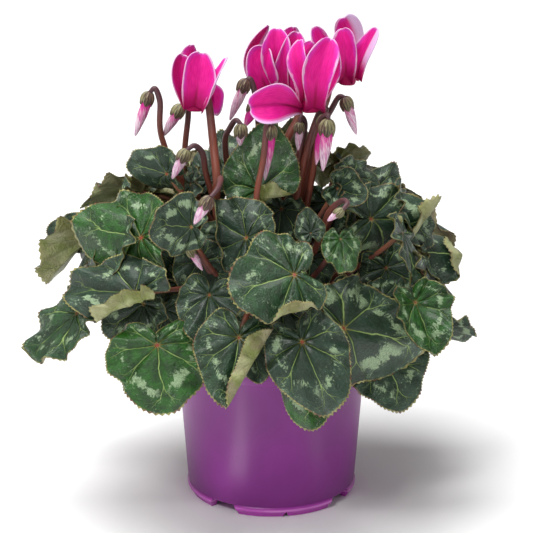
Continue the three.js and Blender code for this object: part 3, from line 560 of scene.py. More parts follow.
FRONT_LEAVES = [
    leaf_at((19, 97, 10), (38, 49, -16), 0.94, cup=-8, droop=-14, wave=7),
    leaf_at(
        (14, 141, 10), (-26, 130, -12), 1.26, bright=0.35, roll=26, fold=-13, side=-13,
        folds=[(88, 0.52, 150)],
    ),
    leaf_at((-20, 100, 10), (-28, 53, -16), 1, cup=-6, folds=[(70, 0.3, 160)], bow=(0, 0, 24)),
    leaf_at((-15, 165, 20), (-43, 181, 22), 1.1, fold=-8, wave=6, folds=[(38, 0.42, 110)]),
    leaf_at((44, 106, 12), (95, 94, 26), 0.92, roll=-24, fold=-28, side=28, wave=6),
    leaf_at((42, 164, 22), (46, 142, -20), 0.8, bright=0.6, roll=-10, cup=-12, wave=8),
    leaf_at((-70, 95, 14), (-65, 49, -16), 1.34, bright=0.95, roll=22, fold=-24, side=-26, wave=7),
    leaf_at(
        (-83, 129, 18), (-127, 133, 30), 0.72, roll=16, wave=6, folds=[(112, 0.1, 118)],
        bow=(16, 0, 16),
    ),
    leaf_at(
        (-79, 165, 22), (-121, 175, 28), 0.92, bright=1, roll=20, fold=-28, side=-30, bow=(-8, 8, 0),
    ),
    leaf_at(
        (-49, 172, 4), (-73, 175, -14), 1.15, roll=14, cup=12, fold=-28, side=-34, wave=8,
        bow=(-8, -8, 0),
    ),
    leaf_at((40, 197, 32), (58, 190, -12), 1.15, roll=-10, cup=35, bow=(-8, 0, 0)),
    leaf_at(
        (60, 177, 24), (104, 175, 30), 0.72, roll=-26, fold=-30, side=34, wave=6,
        folds=[(-36, 0.56, 160)],
    ),
    leaf_at(
        (80, 158, 30), (127, 152, 24), 0.8, roll=-10, fold=-44, side=-24, folds=[(-4, 0.7, 165)],
        bow=(-8, 0, 8),
    ),
    leaf_at((88, 123, 18), (101, 88, -16), 1.08, bright=0.6, roll=-26, fold=42, bow=(34, 0, 0)),
    leaf_at((-119, 116, 10), (-151, 87, 12), 0.76, bright=0.4, roll=48, folds=[(24, 0.8, 150)]),
    leaf_at((-8, 196, 40), (1, 239, 30), 0.84, bright=0.5, wave=6, folds=[(-150, 0.14, 150)]),
    leaf_at((17, 79, 12), (26, 38, -12), 0.98, bright=0.75, fold=-37, side=27, wave=8),
    leaf_at((69, 88, 22), (83, 51, -12), 1.22, roll=-18, cup=-7),
    leaf_at((-38, 128, 26), (-44, 96, -14), 1.1, roll=12, wave=6),
    leaf_at((-58, 144, 22), (-53, 162, -14), 1.05, cup=48, bow=(0, 0, 24)),
    leaf_at((-78, 195, 80), (-113, 184, 20), 0.86, roll=128, wave=10, bow=(16, 16, 16)),
    leaf_at((-108, 167, 60), (-138, 136, 14), 0.84, roll=120, fold=20, bow=(0, 34, 34)),
    leaf_at((-63, 206, 14), (-88, 214, 14), 0.86, roll=6, fold=-30, side=-52, wave=6, bow=(8, -8, 0)),
    leaf_at((-78, 122, 34), (-104, 103, 8), 0.95, roll=20, wave=8),
    leaf_at((24, 168, 36), (20, 184, 12), 0.9),
    leaf_at((47, 203, 50), (64, 202, 20), 0.85, roll=-20),
    leaf_at((60, 191, 45), (76, 211, 20), 0.75, roll=-10),
    leaf_at((40, 214, 70), (59, 218, 14), 0.9, roll=-130),
    leaf_at((106, 108, 40), (124, 100, 12), 1, roll=60),
    leaf_at((76, 156, 70), (74, 136, 14), 0.9, roll=160, bow=(-8, 0, 0)),
    leaf_at((84, 180, 50), (97, 160, 4), 0.95, roll=-30, bow=(-16, -16, 16)),
    leaf_at((68, 126, 40), (80, 139, 14), 1, roll=-10),
    leaf_at((52, 136, 74), (68, 142, 8), 0.9, roll=-140, bow=(-8, 8, 0)),
    leaf_at((-12, 94, 30), (-6, 70, -12), 0.95),
    leaf_at((-114, 168, 78), (-137, 170, 6), 0.85, bow=(0, 34, 34)),
    leaf_at((-46, 201, 66), (-48, 219, 14), 0.9, roll=150, bow=(0, 0, -8)),
    leaf_at((-38, 202, 54), (-42, 221, 18), 0.85, roll=10),
    leaf_at((-26, 210, 64), (-28, 233, 22), 0.85),
    leaf_at((-30, 166, 40), (-47, 154, -6), 1, roll=16),
]
BACK_LEAVES = [
    leaf_at((0, 134, 10), (8, 92, -20), 0.98, roll=6, cup=-8, wave=6),
    leaf_at((-44, 118, 12), (-62, 78, -14), roll=24, droop=-15),
    leaf_at((46, 118, 12), (64, 78, -14), roll=-22, cup=-6, wave=6),
    leaf_at((-84, 126, 6), (-119, 112, 20), 1, roll=30, droop=-10),
    leaf_at((84, 132, 2), (122, 118, 18), 1, roll=-30, wave=7),
    leaf_at((-28, 156, 8), (-64, 144, 4), 0.95, roll=28, cup=-8),
    leaf_at((24, 166, 10), (36, 130, -22), 0.92, roll=-14, wave=6),
    leaf_at((58, 156, 4), (94, 148, 12), 0.92, roll=-24, cup=-6),
    leaf_at((-68, 142, 0), (-98, 139, 16), 0.88, roll=30, wave=6, bow=(16, -16, 0)),
    leaf_at((-6, 182, 16), (-16, 212, 20), 0.95, roll=8, wave=6),
    leaf_at((22, 96, 12), (32, 54, -16), 0.98, roll=-8, cup=-6),
    leaf_at((-22, 92, 12), (-30, 48, -16), 0.98, roll=8, wave=7),
    leaf_at((80, 98, 14), (110, 68, 2), 1.02, roll=-34, cup=-5),
    leaf_at((-82, 96, 14), (-112, 66, 2), 1.02, roll=34, wave=6),
]
# Smaller leaves that fill the plant out under and between the others: inside it as sighted from the
# front, on its right and left as sighted from there, and on top, where a row gives plain places (mm).
INNER_LEAVES = [
    leaf_at((-44, 150, 44), (-38, 118, -6), 0.95),
    leaf_at((-66, 118, 46), (-72, 86, -6), 0.95),
    leaf_at((6, 122, 50), (10, 88, -4), 1),
    leaf_at((38, 126, 54), (48, 94, -4), 0.95),
    leaf_at((70, 146, 52), (80, 112, -6), 0.95),
    leaf_at((24, 152, 62), (22, 122, -4), 0.9),
    leaf_at((-20, 150, 66), (-22, 116, -4), 0.95),
    leaf_at((-30, 116, 50), (-36, 84, -4), 0.9),
    leaf_at((58, 96, 44), (66, 66, -4), 0.9),
    leaf_at((-96, 142, 56), (-112, 116, 0), 0.9),
    leaf_at((6, 184, 66), (2, 154, -4), 0.95),
    leaf_at((34, 188, 74), (38, 156, -4), 0.95),
    leaf_at((14, 150, 74), (12, 120, -4), 1),
    leaf_at((-8, 176, 78), (-20, 150, -4), 0.9),
    leaf_at((-40, 204, 74), (-36, 180, -4), 0.9),
    leaf_at((4, 200, 80), (10, 174, -4), 0.95),
    leaf_at((-56, 136, 52), (-60, 106, -4), 0.95),
    leaf_at((54, 156, 66), (50, 128, -4), 0.95),
    leaf_at((50, 184, 76), (60, 158, -4), 0.95),
]
RIGHT_LEAVES = [
    leaf_at((-30, 150, 22), (-44, 116, -10), roll=10),
    leaf_at((8, 156, 20), (4, 116, -12), 1),
    leaf_at((40, 150, 24), (54, 118, -8), roll=-10),
    leaf_at((-22, 116, 22), (-34, 76, -12)),
    leaf_at((14, 112, 20), (22, 72, -14), 1.02),
    leaf_at((-10, 186, 34), (-26, 160, -4), roll=14),
    leaf_at((28, 184, 34), (38, 156, -2), roll=-12),
    leaf_at((50, 104, 26), (62, 66, -10), roll=-12),
    leaf_at((-4, 88, 30), (-8, 54, -8), 0.92),
]
LEFT_LEAVES = [
    leaf_at((-34, 148, 26), (-50, 114, -8), roll=8),
    leaf_at((4, 158, 24), (0, 118, -10), 1.02),
    leaf_at((38, 148, 26), (50, 114, -8), roll=-10),
    leaf_at((-16, 114, 24), (-24, 74, -12)),
    leaf_at((20, 112, 24), (30, 72, -12), 0.98),
    leaf_at((-24, 184, 40), (-36, 158, -2), roll=14),
    leaf_at((14, 188, 40), (24, 160, -2), roll=-12),
    leaf_at((-48, 98, 24), (-62, 62, -10), roll=12),
    leaf_at((4, 88, 28), (8, 52, -8), 0.95),
]
TOP_LEAVES = [
    leaf_at((-14, 42, 168), (-16, 78, 158), 1, wave=7),
    leaf_at((18, 44, 166), (28, 80, 154), roll=8),
    leaf_at((-44, 40, 160), (-64, 72, 150), roll=-8, wave=7),
    leaf_at((46, 38, 160), (70, 66, 150), roll=10, cup=-6),
    leaf_at((-66, 24, 158), (-100, 42, 148), roll=-10, wave=7),
    leaf_at((-62, -4, 162), (-100, 2, 150), cup=-6, bright=0.5),
    leaf_at((-84, 52, 142), (-110, 70, 126)),
    leaf_at((-30, 64, 148), (-40, 96, 134), wave=7),
    leaf_at((34, 64, 146), (48, 94, 132), cup=-5),
    leaf_at((-88, 14, 142), (-120, 22, 128), roll=6),
    leaf_at((-46, -26, 152), (-76, -40, 144), roll=10),
    leaf_at((2, 66, 144), (6, 98, 128), wave=7),
    leaf_at((64, 10, 154), (96, 14, 142), roll=-6),
    leaf_at((70, 44, 138), (96, 62, 124), wave=7),
]


def heap_depth(across, up, wide, deep, middle):
    """The depth at which a line of sight first meets the heap that the foliage makes."""
    nearest, least = 0, math.inf
    for depth in HEAP_DEPTHS:
        x, _, z = sighted(across, up, depth)
        rise = z - HEAP["up"]
        reach = HEAP["above"] if rise > 0 else HEAP["below"]
        outside = math.hypot((x - middle) / wide, depth / deep, rise / reach)
        if outside <= 1:
            return depth
        if outside < least:
            nearest, least = depth, outside
    return nearest


def smooth(value):
    held = np.clip(value, 0, 1)
    return held * held * (3 - 2 * held)


def unit(vector):
    return vector / np.linalg.norm(vector)


def swung(vector, axis, angle):
    """A vector turned about an axis."""
    return (
        vector * math.cos(angle)
        + np.cross(axis, vector) * math.sin(angle)
        + axis * np.dot(axis, vector) * (1 - math.cos(angle))
    )


def outline(leaf, angle):
    """The edge of a flat blade of length 1, in a direction counted from the tip."""
    heart = 0.6 + 0.24 * np.cos(angle) + 0.02 * np.cos(2 * angle) + 0.06 * np.cos(3 * angle)
    point = 0.04 * np.cos(5 * angle) + 0.04 * np.maximum(0, np.cos(angle)) ** 12
    uneven = 0.03 * np.sin(3 * angle + leaf["phase"]) + 0.025 * np.sin(4 * angle + 2.3 * leaf["phase"])
    lobes = 1 - LOBE * np.exp(-(((SINUS - np.abs(angle)) / 0.22) ** 2))
    return (heart + point) * lobes * (1 + uneven * np.sin(angle))


def steepness(leaf, share, angle):
    """How steeply a blade leaves its own plane at a share of the way out."""
    start = smooth(share / 0.4)
    steep = start * (leaf["cup"] + leaf["fold"] * np.abs(np.sin(angle)) + leaf["side"] * np.sin(angle))
    steep = steep + share * leaf["droop"] * np.maximum(0, np.cos(angle))
    waves = 1.2 * np.sin(5 * angle + leaf["phase"]) + 0.8 * np.sin(3 * angle + 1.7 * leaf["phase"])
    return np.radians(steep + share * share * leaf["wave"] * waves)


def ray(leaf, angle, share):
    """The distance from the stalk and the height at a share of the way out."""
    step = share / RAY_STEPS
    away, height = 0, 0
    for place in range(RAY_STEPS):
        steep = steepness(leaf, (place + 0.5) * step, angle)
        away = away + np.cos(steep) * step
        height = height + np.sin(steep) * step
    return away, height


def stance(leaf):
    """A leaf's own axes, along it, across it and out of its upper face, and its flat length."""
    towards_tip = leaf["tip_point"] - leaf["stalk_point"]
    chord = unit(towards_tip)
    across = unit(np.cross(unit(leaf["eye"] - leaf["stalk_point"]), chord))
    across = swung(across, chord, math.radians(leaf["roll"]))
    reach, height = ray(leaf, 0.0, 1.0)
    along = swung(chord, across, math.atan2(height, reach))
    length = np.linalg.norm(towards_tip) / math.hypot(reach, height)
    return along, across, unit(np.cross(along, across)), length


def folded(leaf, along, across):
    """A flat point after the blade's folds: what lies beyond a line turns about it, up and over."""
    raised = np.zeros_like(along)
    for at, far, lift in leaf["folds"]:
        to_x, to_y = math.cos(math.radians(at)), math.sin(math.radians(at))
        beyond = np.maximum(along * to_x + across * to_y - far, 0)
        turn = np.minimum(beyond / FOLD_RADIUS, math.radians(lift))
        rest = beyond - turn * FOLD_RADIUS
        moved = FOLD_RADIUS * np.sin(turn) + rest * np.cos(turn) - beyond
        raised = raised + FOLD_RADIUS * (1 - np.cos(turn)) + rest * np.sin(turn)
        along, across = along + to_x * moved, across + to_y * moved
    return along, across, raised


def quilted(leaf, angle, share):
    """How far the blade bulges between its veins and ruffles at its edge, for a blade of length 1."""
    turns = angle / VEIN_TURN
    off = np.abs(turns - np.round(turns))
    forked = np.abs(off - FORK_WIDTH * smooth((share - FORK) / (1 - FORK)))
    between_veins = np.minimum(off, 0.3) * (1 - share) + np.minimum(forked, 0.2) * share
    waves = np.sin(9 * angle + 3 * leaf["phase"]) + 0.6 * np.sin(14 * angle + leaf["phase"])
    return QUILT * share * (1 - share) * 4 * between_veins + RUFFLE * share**3 * waves


def blade_points(leaf, angle, share):
    along, across, facing, length = stance(leaf)
    out = share * outline(leaf, angle)
    x, y, raised = folded(leaf, out * np.cos(angle), out * leaf["wide"] * np.sin(angle))
    direction = np.arctan2(y / leaf["wide"], x)
    edge = outline(leaf, direction)
    away, height = ray(leaf, direction, np.hypot(x, y / leaf["wide"]) / edge)
    points = leaf["stalk_point"] + np.outer(away * edge * length * np.cos(direction), along)
    points += np.outer(away * edge * length * leaf["wide"] * np.sin(direction), across)
    return points + np.outer((height * edge + raised + quilted(leaf, angle, share)) * length, facing)


def thickened(points, faces, thickness):
    """A surface as a closed sheet: its upper points, its lower points, and faces for all of it."""
    normals = np.zeros_like(points)
    borders = {}
    for face in faces:
        corners = points[list(face)]
        facing = np.cross(corners[1] - corners[0], corners[2] - corners[0])
        if len(face) == 4:
            facing = facing + np.cross(corners[2] - corners[0], corners[3] - corners[0])
        normals[list(face)] += facing
        for place, corner in enumerate(face):
            borders[(corner, face[(place + 1) % len(face)])] = True
    normals *= thickness / 2 / np.linalg.norm(normals, axis=1)[:, None]
    count = len(points)
    sheet_faces = [*faces, *[tuple(corner + count for corner in face[::-1]) for face in faces]]
    for a, b in borders:
        if (b, a) not in borders:
            sheet_faces.append((b, a, a + count, b + count))
    return np.concatenate([points + normals, points - normals]), sheet_faces


def grown_leaves():
    """The leaves as their rows say, in place but not yet settled behind each other."""
    heap = (HEAP["wide"], HEAP["deep"], HEAP["across"])
    from_right = (HEAP["deep"], HEAP["wide"] + HEAP["across"], 0)
    from_left = (HEAP["deep"], HEAP["wide"] - HEAP["across"], 0)
    views = (
        (FRONT_LEAVES, False, 0, heap),
        (BACK_LEAVES, False, 180, heap),
        (INNER_LEAVES, True, 0, heap),
        (RIGHT_LEAVES, True, 90, from_right),
        (LEFT_LEAVES, True, -90, from_left),
    )
    grown = []
    up = np.array([0, 0, 1])
    for rows, spare, bearing, seen_heap in views:
        turn = math.radians(bearing)
        for place, row in enumerate(rows):
            leaf = {**row, "phase": 1.7 * place, "name": f"leaf_{len(grown) + 1:02d}", "spare": spare}
            depth = heap_depth(*row["stalk"][:2], *seen_heap) + row["stalk"][2]
            leaf["eye"] = swung(EYE, up, turn)
            leaf["stalk_point"] = swung(sighted(*row["stalk"][:2], depth), up, turn)
            leaf["tip_point"] = swung(sighted(*row["tip"][:2], depth + row["tip"][2]), up, turn)
            grown.append(leaf)
    for place, row in enumerate(TOP_LEAVES):
        leaf = {**row, "phase": 1.7 * place + 0.9, "spare": True, "eye": EYE_ABOVE}
        leaf["stalk_point"] = np.array(row["stalk"], float)
        leaf["tip_point"] = np.array(row["tip"], float)
        grown.append(leaf)
    return grown


def blade_grid(spokes, shares):
    """The directions and shares of a blade's points, spoke by spoke after the one at the stalk."""
    angles = np.linspace(-SINUS, SINUS, spokes + 1)
    angle = np.concatenate([[0], np.repeat(angles, len(shares))])
    share = np.concatenate([[0], np.tile(shares, spokes + 1)])
    return angle, share


def blade_faces(spokes, rings):
    faces = []
    for spoke in range(spokes):
        here = 1 + spoke * rings
        after = here + rings
        faces.append((0, here, after))
        for ring in range(rings - 1):
            faces.append((here + ring, here + ring + 1, after + ring + 1, after + ring))
    return faces


def settle(leaf):
    """Moves a leaf along its line of sight to where its solid hangs in the frame."""
    points = blade_points(leaf, *blade_grid(SOLID_SPOKES, SOLID_SHARES))
    low, high = [np.array(corner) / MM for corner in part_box(leaf["name"])]
    away = unit(leaf["stalk_point"] - leaf["eye"])
    moved = away * np.dot((low + high - points.min(0) - points.max(0)) / 2, away)
    leaf["stalk_point"] = leaf["stalk_point"] + moved
    leaf["tip_point"] = leaf["tip_point"] + moved


LEAF_DARK = colour(16, 34, 12)
LEAF_BLUE = colour(34, 60, 42)
LEAF_BRIGHT = colour(36, 92, 16)
LEAF_SHEEN_BLOOM = colour(92, 118, 98)
LEAF_SILVER = colour(156, 180, 140)
VEIN_PALE = colour(152, 180, 104)
EDGE_OCHRE = colour(160, 154, 92)
EDGE_RUST = colour(116, 74, 50)
STALK_SPOT = colour(138, 60, 36)
UNDER_OLIVE = colour(112, 122, 50)
UNDER_PALE = colour(166, 170, 122)
UNDER_PURPLE = colour(146, 122, 114)
leaf_skin, shade, feed = new_material("marbled_leaf", IOR=1.42, Coat_Weight=0.22, Coat_Roughness=0.22)
along, across, share = shade.attribute("flat").parts()
chance, brightness, silvering = shade.attribute("leaf").parts()
upper, purpling, _ = shade.attribute("face").parts()
own_place = shade.vector(along + 13 * chance, across + 7 * chance, chance)
wobble = own_place.noise(3) - 0.5
crooked = own_place.noise(14, 3) - 0.5
reach = (along * along + across * across) ** 0.5
turns = (shade.maths("ARCTAN2", across, along) + 0.28 * wobble + 0.04 * crooked) / VEIN_TURN
off = abs(turns - shade.maths("ROUND", turns))
bent = share + 0.3 * wobble
spread = bent.between(FORK, 1.1)
fork_off = abs(off - FORK_WIDTH * spread)
twig_off = abs(fork_off - 0.1 * bent.between(0.72, 1.05))
thin = 0.0135 * (1.3 - share)
gap = off * reach * VEIN_TURN
ribs = (1 - (gap / thin).between(0.3, 1)) * (1 - bent.between(0.6, 0.7))
fork_gap = fork_off * reach * VEIN_TURN
forks = 0.9 * (1 - (fork_gap / thin).between(0.25, 0.9))
forks = forks * bent.between(0.5, 0.56) * (1 - bent.between(0.74, 0.84))
twig_gap = twig_off * reach * VEIN_TURN
twigs = 0.7 * (1 - (twig_gap / thin).between(0.2, 0.8))
twigs = twigs * bent.between(0.72, 0.8) * (1 - share.between(0.84, 0.95))
veins = ribs.most(forks).most(twigs)
blots = own_place.noise(5.5, 3, 0.55)
ragged = own_place.noise(34, 4, 0.7)
grain = own_place.noise(90, 2, 0.6)
cells = own_place.cells(42, "SMOOTH_F1")
band = 1 - abs(bent - 0.66) / 0.2
rays = shade.vector(9 * turns, 3 * share, 7 * chance).noise(2, 3, 0.6)
marbling = band + 2.6 * (blots - 0.5) + 1.6 * (rays - 0.5) + 0.9 * (ragged - 0.5)
marbling = (marbling + 0.5 * (silvering - 0.5)).between(0.68, 0.96)
marbling = marbling * off.between(0.06, 0.2) * (0.5 + 0.5 * grain.between(0.35, 0.6))
flecks = (ragged + 0.6 * (blots - 0.5)).between(0.6, 0.68) * share.between(0.4, 0.6)
green = (brightness + 0.4 * wobble).between(0.15, 0.7).mixed(LEAF_BLUE, LEAF_BRIGHT)
mottled = (0.3 + 0.7 * own_place.noise(7, 4, 0.6).between(0.34, 0.64)).mixed(LEAF_DARK, green)
# painted sheen: pale grey-blue patches over the outer blade are partly the leaf's waxy bloom and partly
# a painted sheen of light on it, stronger on the darker leaves
sheen_and_bloom = share.between(0.4, 1) * (0.45 - 0.4 * brightness) * blots.between(0.35, 0.6)
sheen_and_bloom = sheen_and_bloom * (0.3 + 1.4 * (ragged - 0.2))
top = sheen_and_bloom.mixed(mottled, LEAF_SHEEN_BLOOM)
top = (0.35 * cells.between(0.3, 0.75)).mixed(top, LEAF_DARK)
top = (0.9 * marbling.most(0.6 * flecks)).mixed(top, LEAF_SILVER)
top = (0.9 * veins).mixed(top, VEIN_PALE)
stained = 1 - (reach + 0.05 * wobble).between(0.012, 0.045)
stained = stained.most(0.6 * ribs * (1 - reach.between(0.02, 0.14)))
top = stained.mixed(top, STALK_SPOT)
edge = share.between(0.968, 0.985) * (0.5 + 0.5 * ragged.between(0.3, 0.6))
rim = own_place.noise(10).between(0.46, 0.64).mixed(EDGE_OCHRE, EDGE_RUST)
top = edge.mixed(top, rim)
under = own_place.noise(3, 3).between(0.35, 0.65).mixed(UNDER_OLIVE, UNDER_PALE)
under = (purpling * own_place.noise(4, 3).between(0.35, 0.6)).mixed(under, UNDER_PURPLE)
under = (0.35 * veins).mixed(under, UNDER_PALE)
under = (0.6 * edge).mixed(under, rim)
dome = off.between(0, 0.3) * share.between(0.1, 0.5)
relief = (0.7 * ragged - 1.2 * veins + 1.2 * blots + 0.5 * dome - 0.5 * cells) * (2 * upper - 1)
feed(
    Base_Color=upper.mixed(under, top),
    Roughness=0.6 - upper * (0.34 - 0.26 * grain),
    Normal=relief.bumps(0.0013, 0.9),
)


def dressed_blade(leaf, spokes, shares, draws):
    """A leaf's blade with its teeth: points, faces and the attributes that its skin reads."""
    angle, share = blade_grid(spokes, shares)
    teeth = np.where(np.arange(spokes + 1) % 2 == 0, TOOTH, -TOOTH)
    toothed = share.copy()
    toothed[len(shares) :: len(shares)] += teeth * draws.uniform(0.4, 1, len(teeth))
    faces = blade_faces(spokes, len(shares))
    points, faces = thickened(blade_points(leaf, angle, toothed), faces, BLADE_THICK)
    out = share * outline(leaf, angle)
    flat = np.stack([out * np.cos(angle), out * np.sin(angle), share], 1)
    chance, brightness, silvering, purpling = draws.uniform(size=4)
    own = [chance, leaf.get("bright", 0.3 * brightness), silvering]
    sides = [np.tile([upper, 0.6 * purpling, 0], (len(flat), 1)) for upper in (1, 0)]
    return points, faces, np.tile(flat, (2, 1)), np.tile(own, (len(points), 1)), np.concatenate(sides)


draws = np.random.default_rng(17)
leaves = grown_leaves()
spare_blades = []
for leaf in leaves:
    if leaf["spare"]:
        spare_blades.append(dressed_blade(leaf, SPARE_SPOKES, SPARE_SHARES, draws))
        continue
    settle(leaf)
    points, faces, flat, own, face = dressed_blade(leaf, BLADE_SPOKES, BLADE_SHARES, draws)
    name = leaf["name"].replace("leaf", "blade")
    piece = shaped(name, points, faces, leaf_skin, sharp=180, flat=flat, leaf=own, face=face)
    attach(piece, "root")
    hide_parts(leaf["name"])
points, faces = joined(blade[:2] for blade in spare_blades)
flat, own, face = [np.concatenate([blade[place] for blade in spare_blades]) for place in (2, 3, 4)]
piece = shaped("inner_blades", points, faces, leaf_skin, sharp=180, flat=flat, leaf=own, face=face)
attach(piece, "root")

# Leaf stalks
# Thin, round and reddish-brown. They rise from the top of the tuber, the lower leaves' from its
# shoulder, and meet each blade from below at its notch.
LEAF_STALK_RADIUS = 1.5
LEAF_STALK_SIDES = 10
LEAF_STALK_STEPS = 18
ROOTS_OUTER, ROOTS_INNER = 18, 2
ROOTS_SUNK = 3


def stalk_root(goal):
    """Where a stalk starts on the tuber: towards its goal, and further out if it heads lower."""
    distance = math.hypot(goal[0], goal[1])
    upright = math.atan2(goal[2] - TUBER_MIDDLE, distance) / (math.pi / 2)
    radius = ROOTS_OUTER + (ROOTS_INNER - ROOTS_OUTER) * float(np.clip(upright, 0, 1))
    radius = min(distance, radius)
    heading = math.atan2(goal[1], goal[0])
    skin = TUBER_MIDDLE + TUBER_HALF_HEIGHT * math.sqrt(1 - (radius / TUBER_RADIUS) ** 2)
    return np.array([radius * math.cos(heading), radius * math.sin(heading), skin - ROOTS_SUNK])


def ringed(middle, across, over, radius, around):
    """Points round a middle in the plane of two directions."""
    return middle + np.outer(np.cos(around) * radius, across) + np.outer(np.sin(around) * radius, over)


def tube(line, radii, sides):
    """A round solid along a line, and each point's share of the length, of a turn, and length."""
    line = np.asarray(line, float)
    along = np.gradient(line, axis=0)
    across = np.array([1, 0.2, 0])
    points, marks = [], []
    lengths = np.concatenate([[0], np.cumsum(np.linalg.norm(np.diff(line, axis=0), axis=1))])
    around = np.linspace(0, 2 * math.pi, sides, endpoint=False)
    for point, heading, radius, length in zip(line, along, radii, lengths):
        heading = unit(heading)
        across = unit(across - heading * np.dot(across, heading))
        over = np.cross(heading, across)
        points.extend(ringed(point, across, over, radius, around))
        marks.extend((length / lengths[-1], place / sides, length) for place in range(sides))
    return points, capped_faces(len(line), sides), marks


def bundled(tubes):
    """Several tubes as one list of points, one of faces and one of marks."""
    points, faces = joined((points, faces) for points, faces, _ in tubes)
    return points, faces, [mark for _, _, marks in tubes for mark in marks]


def leaf_stalk(leaf):
    _, _, facing, _ = stance(leaf)
    end = leaf["stalk_point"] - facing * BLADE_THICK / 2
    root = stalk_root(end)
    span = np.linalg.norm(end - root)
    straight = unit(end - root)
    arriving = unit(straight + facing * max(0, 0.6 - np.dot(straight, facing)))
    rise = unit(np.array([straight[0] * 0.4, straight[1] * 0.4, 1]))
    first = root + rise * 0.35 * span + leaf["bow"]
    second = end - arriving * 0.3 * span + leaf["bow"]
    share = np.linspace(0, 1, LEAF_STALK_STEPS + 1)[:, None]
    rest = 1 - share
    line = root * rest**3 + 3 * first * rest**2 * share + 3 * second * rest * share**2 + end * share**3
    radii = LEAF_STALK_RADIUS * (1.2 - 0.25 * share[:, 0])
    return tube(line, radii, LEAF_STALK_SIDES)


STALK_RED = colour(132, 70, 54)
STALK_DARK = colour(84, 44, 40)
STALK_GREEN = colour(104, 100, 60)
stalk_skin, shade, feed = new_material("stalk_skin", IOR=1.45)
length_share, _, _ = shade.attribute("flat").parts()
spot = shade.place()
blush = spot.noise(60, 3)
skin_colour = blush.between(0.35, 0.65).mixed(STALK_DARK, STALK_RED)
skin_colour = (0.5 * length_share.between(0.7, 1) * blush).mixed(skin_colour, STALK_GREEN)
fuzz = spot.noise(1500)
feed(Base_Color=skin_colour, Roughness=0.4 + 0.25 * blush, Normal=fuzz.bumps(0.0002, 0.3))
points, faces, marks = bundled([leaf_stalk(leaf) for leaf in leaves])
piece = shaped("leaf_stalks", points, faces, stalk_skin, flat=marks)
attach(piece, "root")
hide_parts("crown")

# Flower stalks
# Thicker fleshy stalks, purple-brown and finely furred, that rise straight out of the crown and hook
# over at the top, so that each bud and flower nods.
BUD_STALK_THIN, BUD_STALK_THICK = 1.3, 1.8
FLOWER_STALK_THIN, FLOWER_STALK_THICK = 1.7, 2.5
FLOWER_STALK_SIDES = 12
STEPS_BETWEEN_POINTS = 8
TUBE_LENGTH = 9
STALK_ABOVE_TUBE = 4
PLAIN_PETAL = {"waist": 0.6, "crease": 0.1, "curl": 0, "sway": 0, "lilac": (2, 3, 0)}


def bud_at(calyx, tip, route, size=1, **form):
    """A bud's places across, up and in depth, and those that its stalk passes on its way down."""
    return {"calyx": calyx, "tip": tip, "route": route, "size": size, **form}


def petal_at(root, middle, tip, width, roll=(0, 0), **form):
    """A petal's places, its width, and how far it is rolled about its length at root and tip."""
    places = {"root": root, "middle": middle, "tip": tip}
    return {**PLAIN_PETAL, **places, "width": width, "roll": roll, **form}


BUDS = [
    bud_at((-73, 257, -5), (-82, 230), [(-70, 260, -5), (-67, 253, -5), (-66, 229, -5)], open=0.4),
    bud_at(
        (-54, 249, -2), (-65, 230), [(-52, 252, 2), (-50, 247, 4), (-52, 224, 2), (-53, 200, 0)],
        open=0.3,
    ),
    bud_at((-51, 221, -44), (-60, 203), [(-47, 224, -42), (-42, 220, -36), (-39, 204, -26)], open=0),
    bud_at(
        (-37, 191, -92), (-47, 174),
        [(-33, 196, -86), (-31, 201, -74), (-31, 203, -56), (-33, 196, -42), (-34, 182, -32)],
    ),
    bud_at((-15, 265, -2), (-25, 240), [(-13, 266, -2), (-10, 257, -1), (-8, 238, 4)]),
    bud_at((-18, 237, -22), (-19, 224), [(-21, 240, -20), (-25, 235, -14), (-28, 226, -6)]),
    bud_at(
        (0, 236, -30), (-4, 202),
        [(0, 242, -32), (-2, 240, -30), (-5, 215, -36), (-9, 192, -42), (-8, 174, -40)], open=0.5,
    ),
    bud_at((17, 238, -14), (16, 221), [(18, 242, -12), (20, 238, -10), (16, 215, -8)], size=0.8),
    bud_at(
        (34, 240, -34), (31, 208), [(34, 243, -33), (30, 241, -27), (27, 222, -14), (24, 200, -8)],
        open=0.35, size=1.2,
    ),
    bud_at((32, 243, -20), (27, 212), [(33, 247, -18), (29, 244, -14), (20, 216, -10)], open=0.8),
    bud_at((44, 254, -8), (51, 231), [(41, 255, -7), (36, 247, -6), (28, 230, -4)]),
    bud_at(
        (43, 183, -70), (34, 176), [(46, 187, -66), (43, 189, -56), (35, 182, -44), (31, 170, -34)],
        size=0.7,
    ),
    bud_at((-50, 158, -66), (-42, 144), [(-48, 161, -64), (-44, 154, -58)], size=0.7),
    bud_at((-8, 134, -60), (-9, 118), [(-6, 137, -58), (-4, 130, -54)], size=0.6),
    bud_at((16, 132, -60), (15, 116), [(14, 135, -58), (12, 128, -54)], size=0.6),
    bud_at((-8, 252, -2), (-16, 236), [(-5, 254, 0), (-4, 246, 2), (-6, 226, 2)], open=0.9, size=1.1),
]
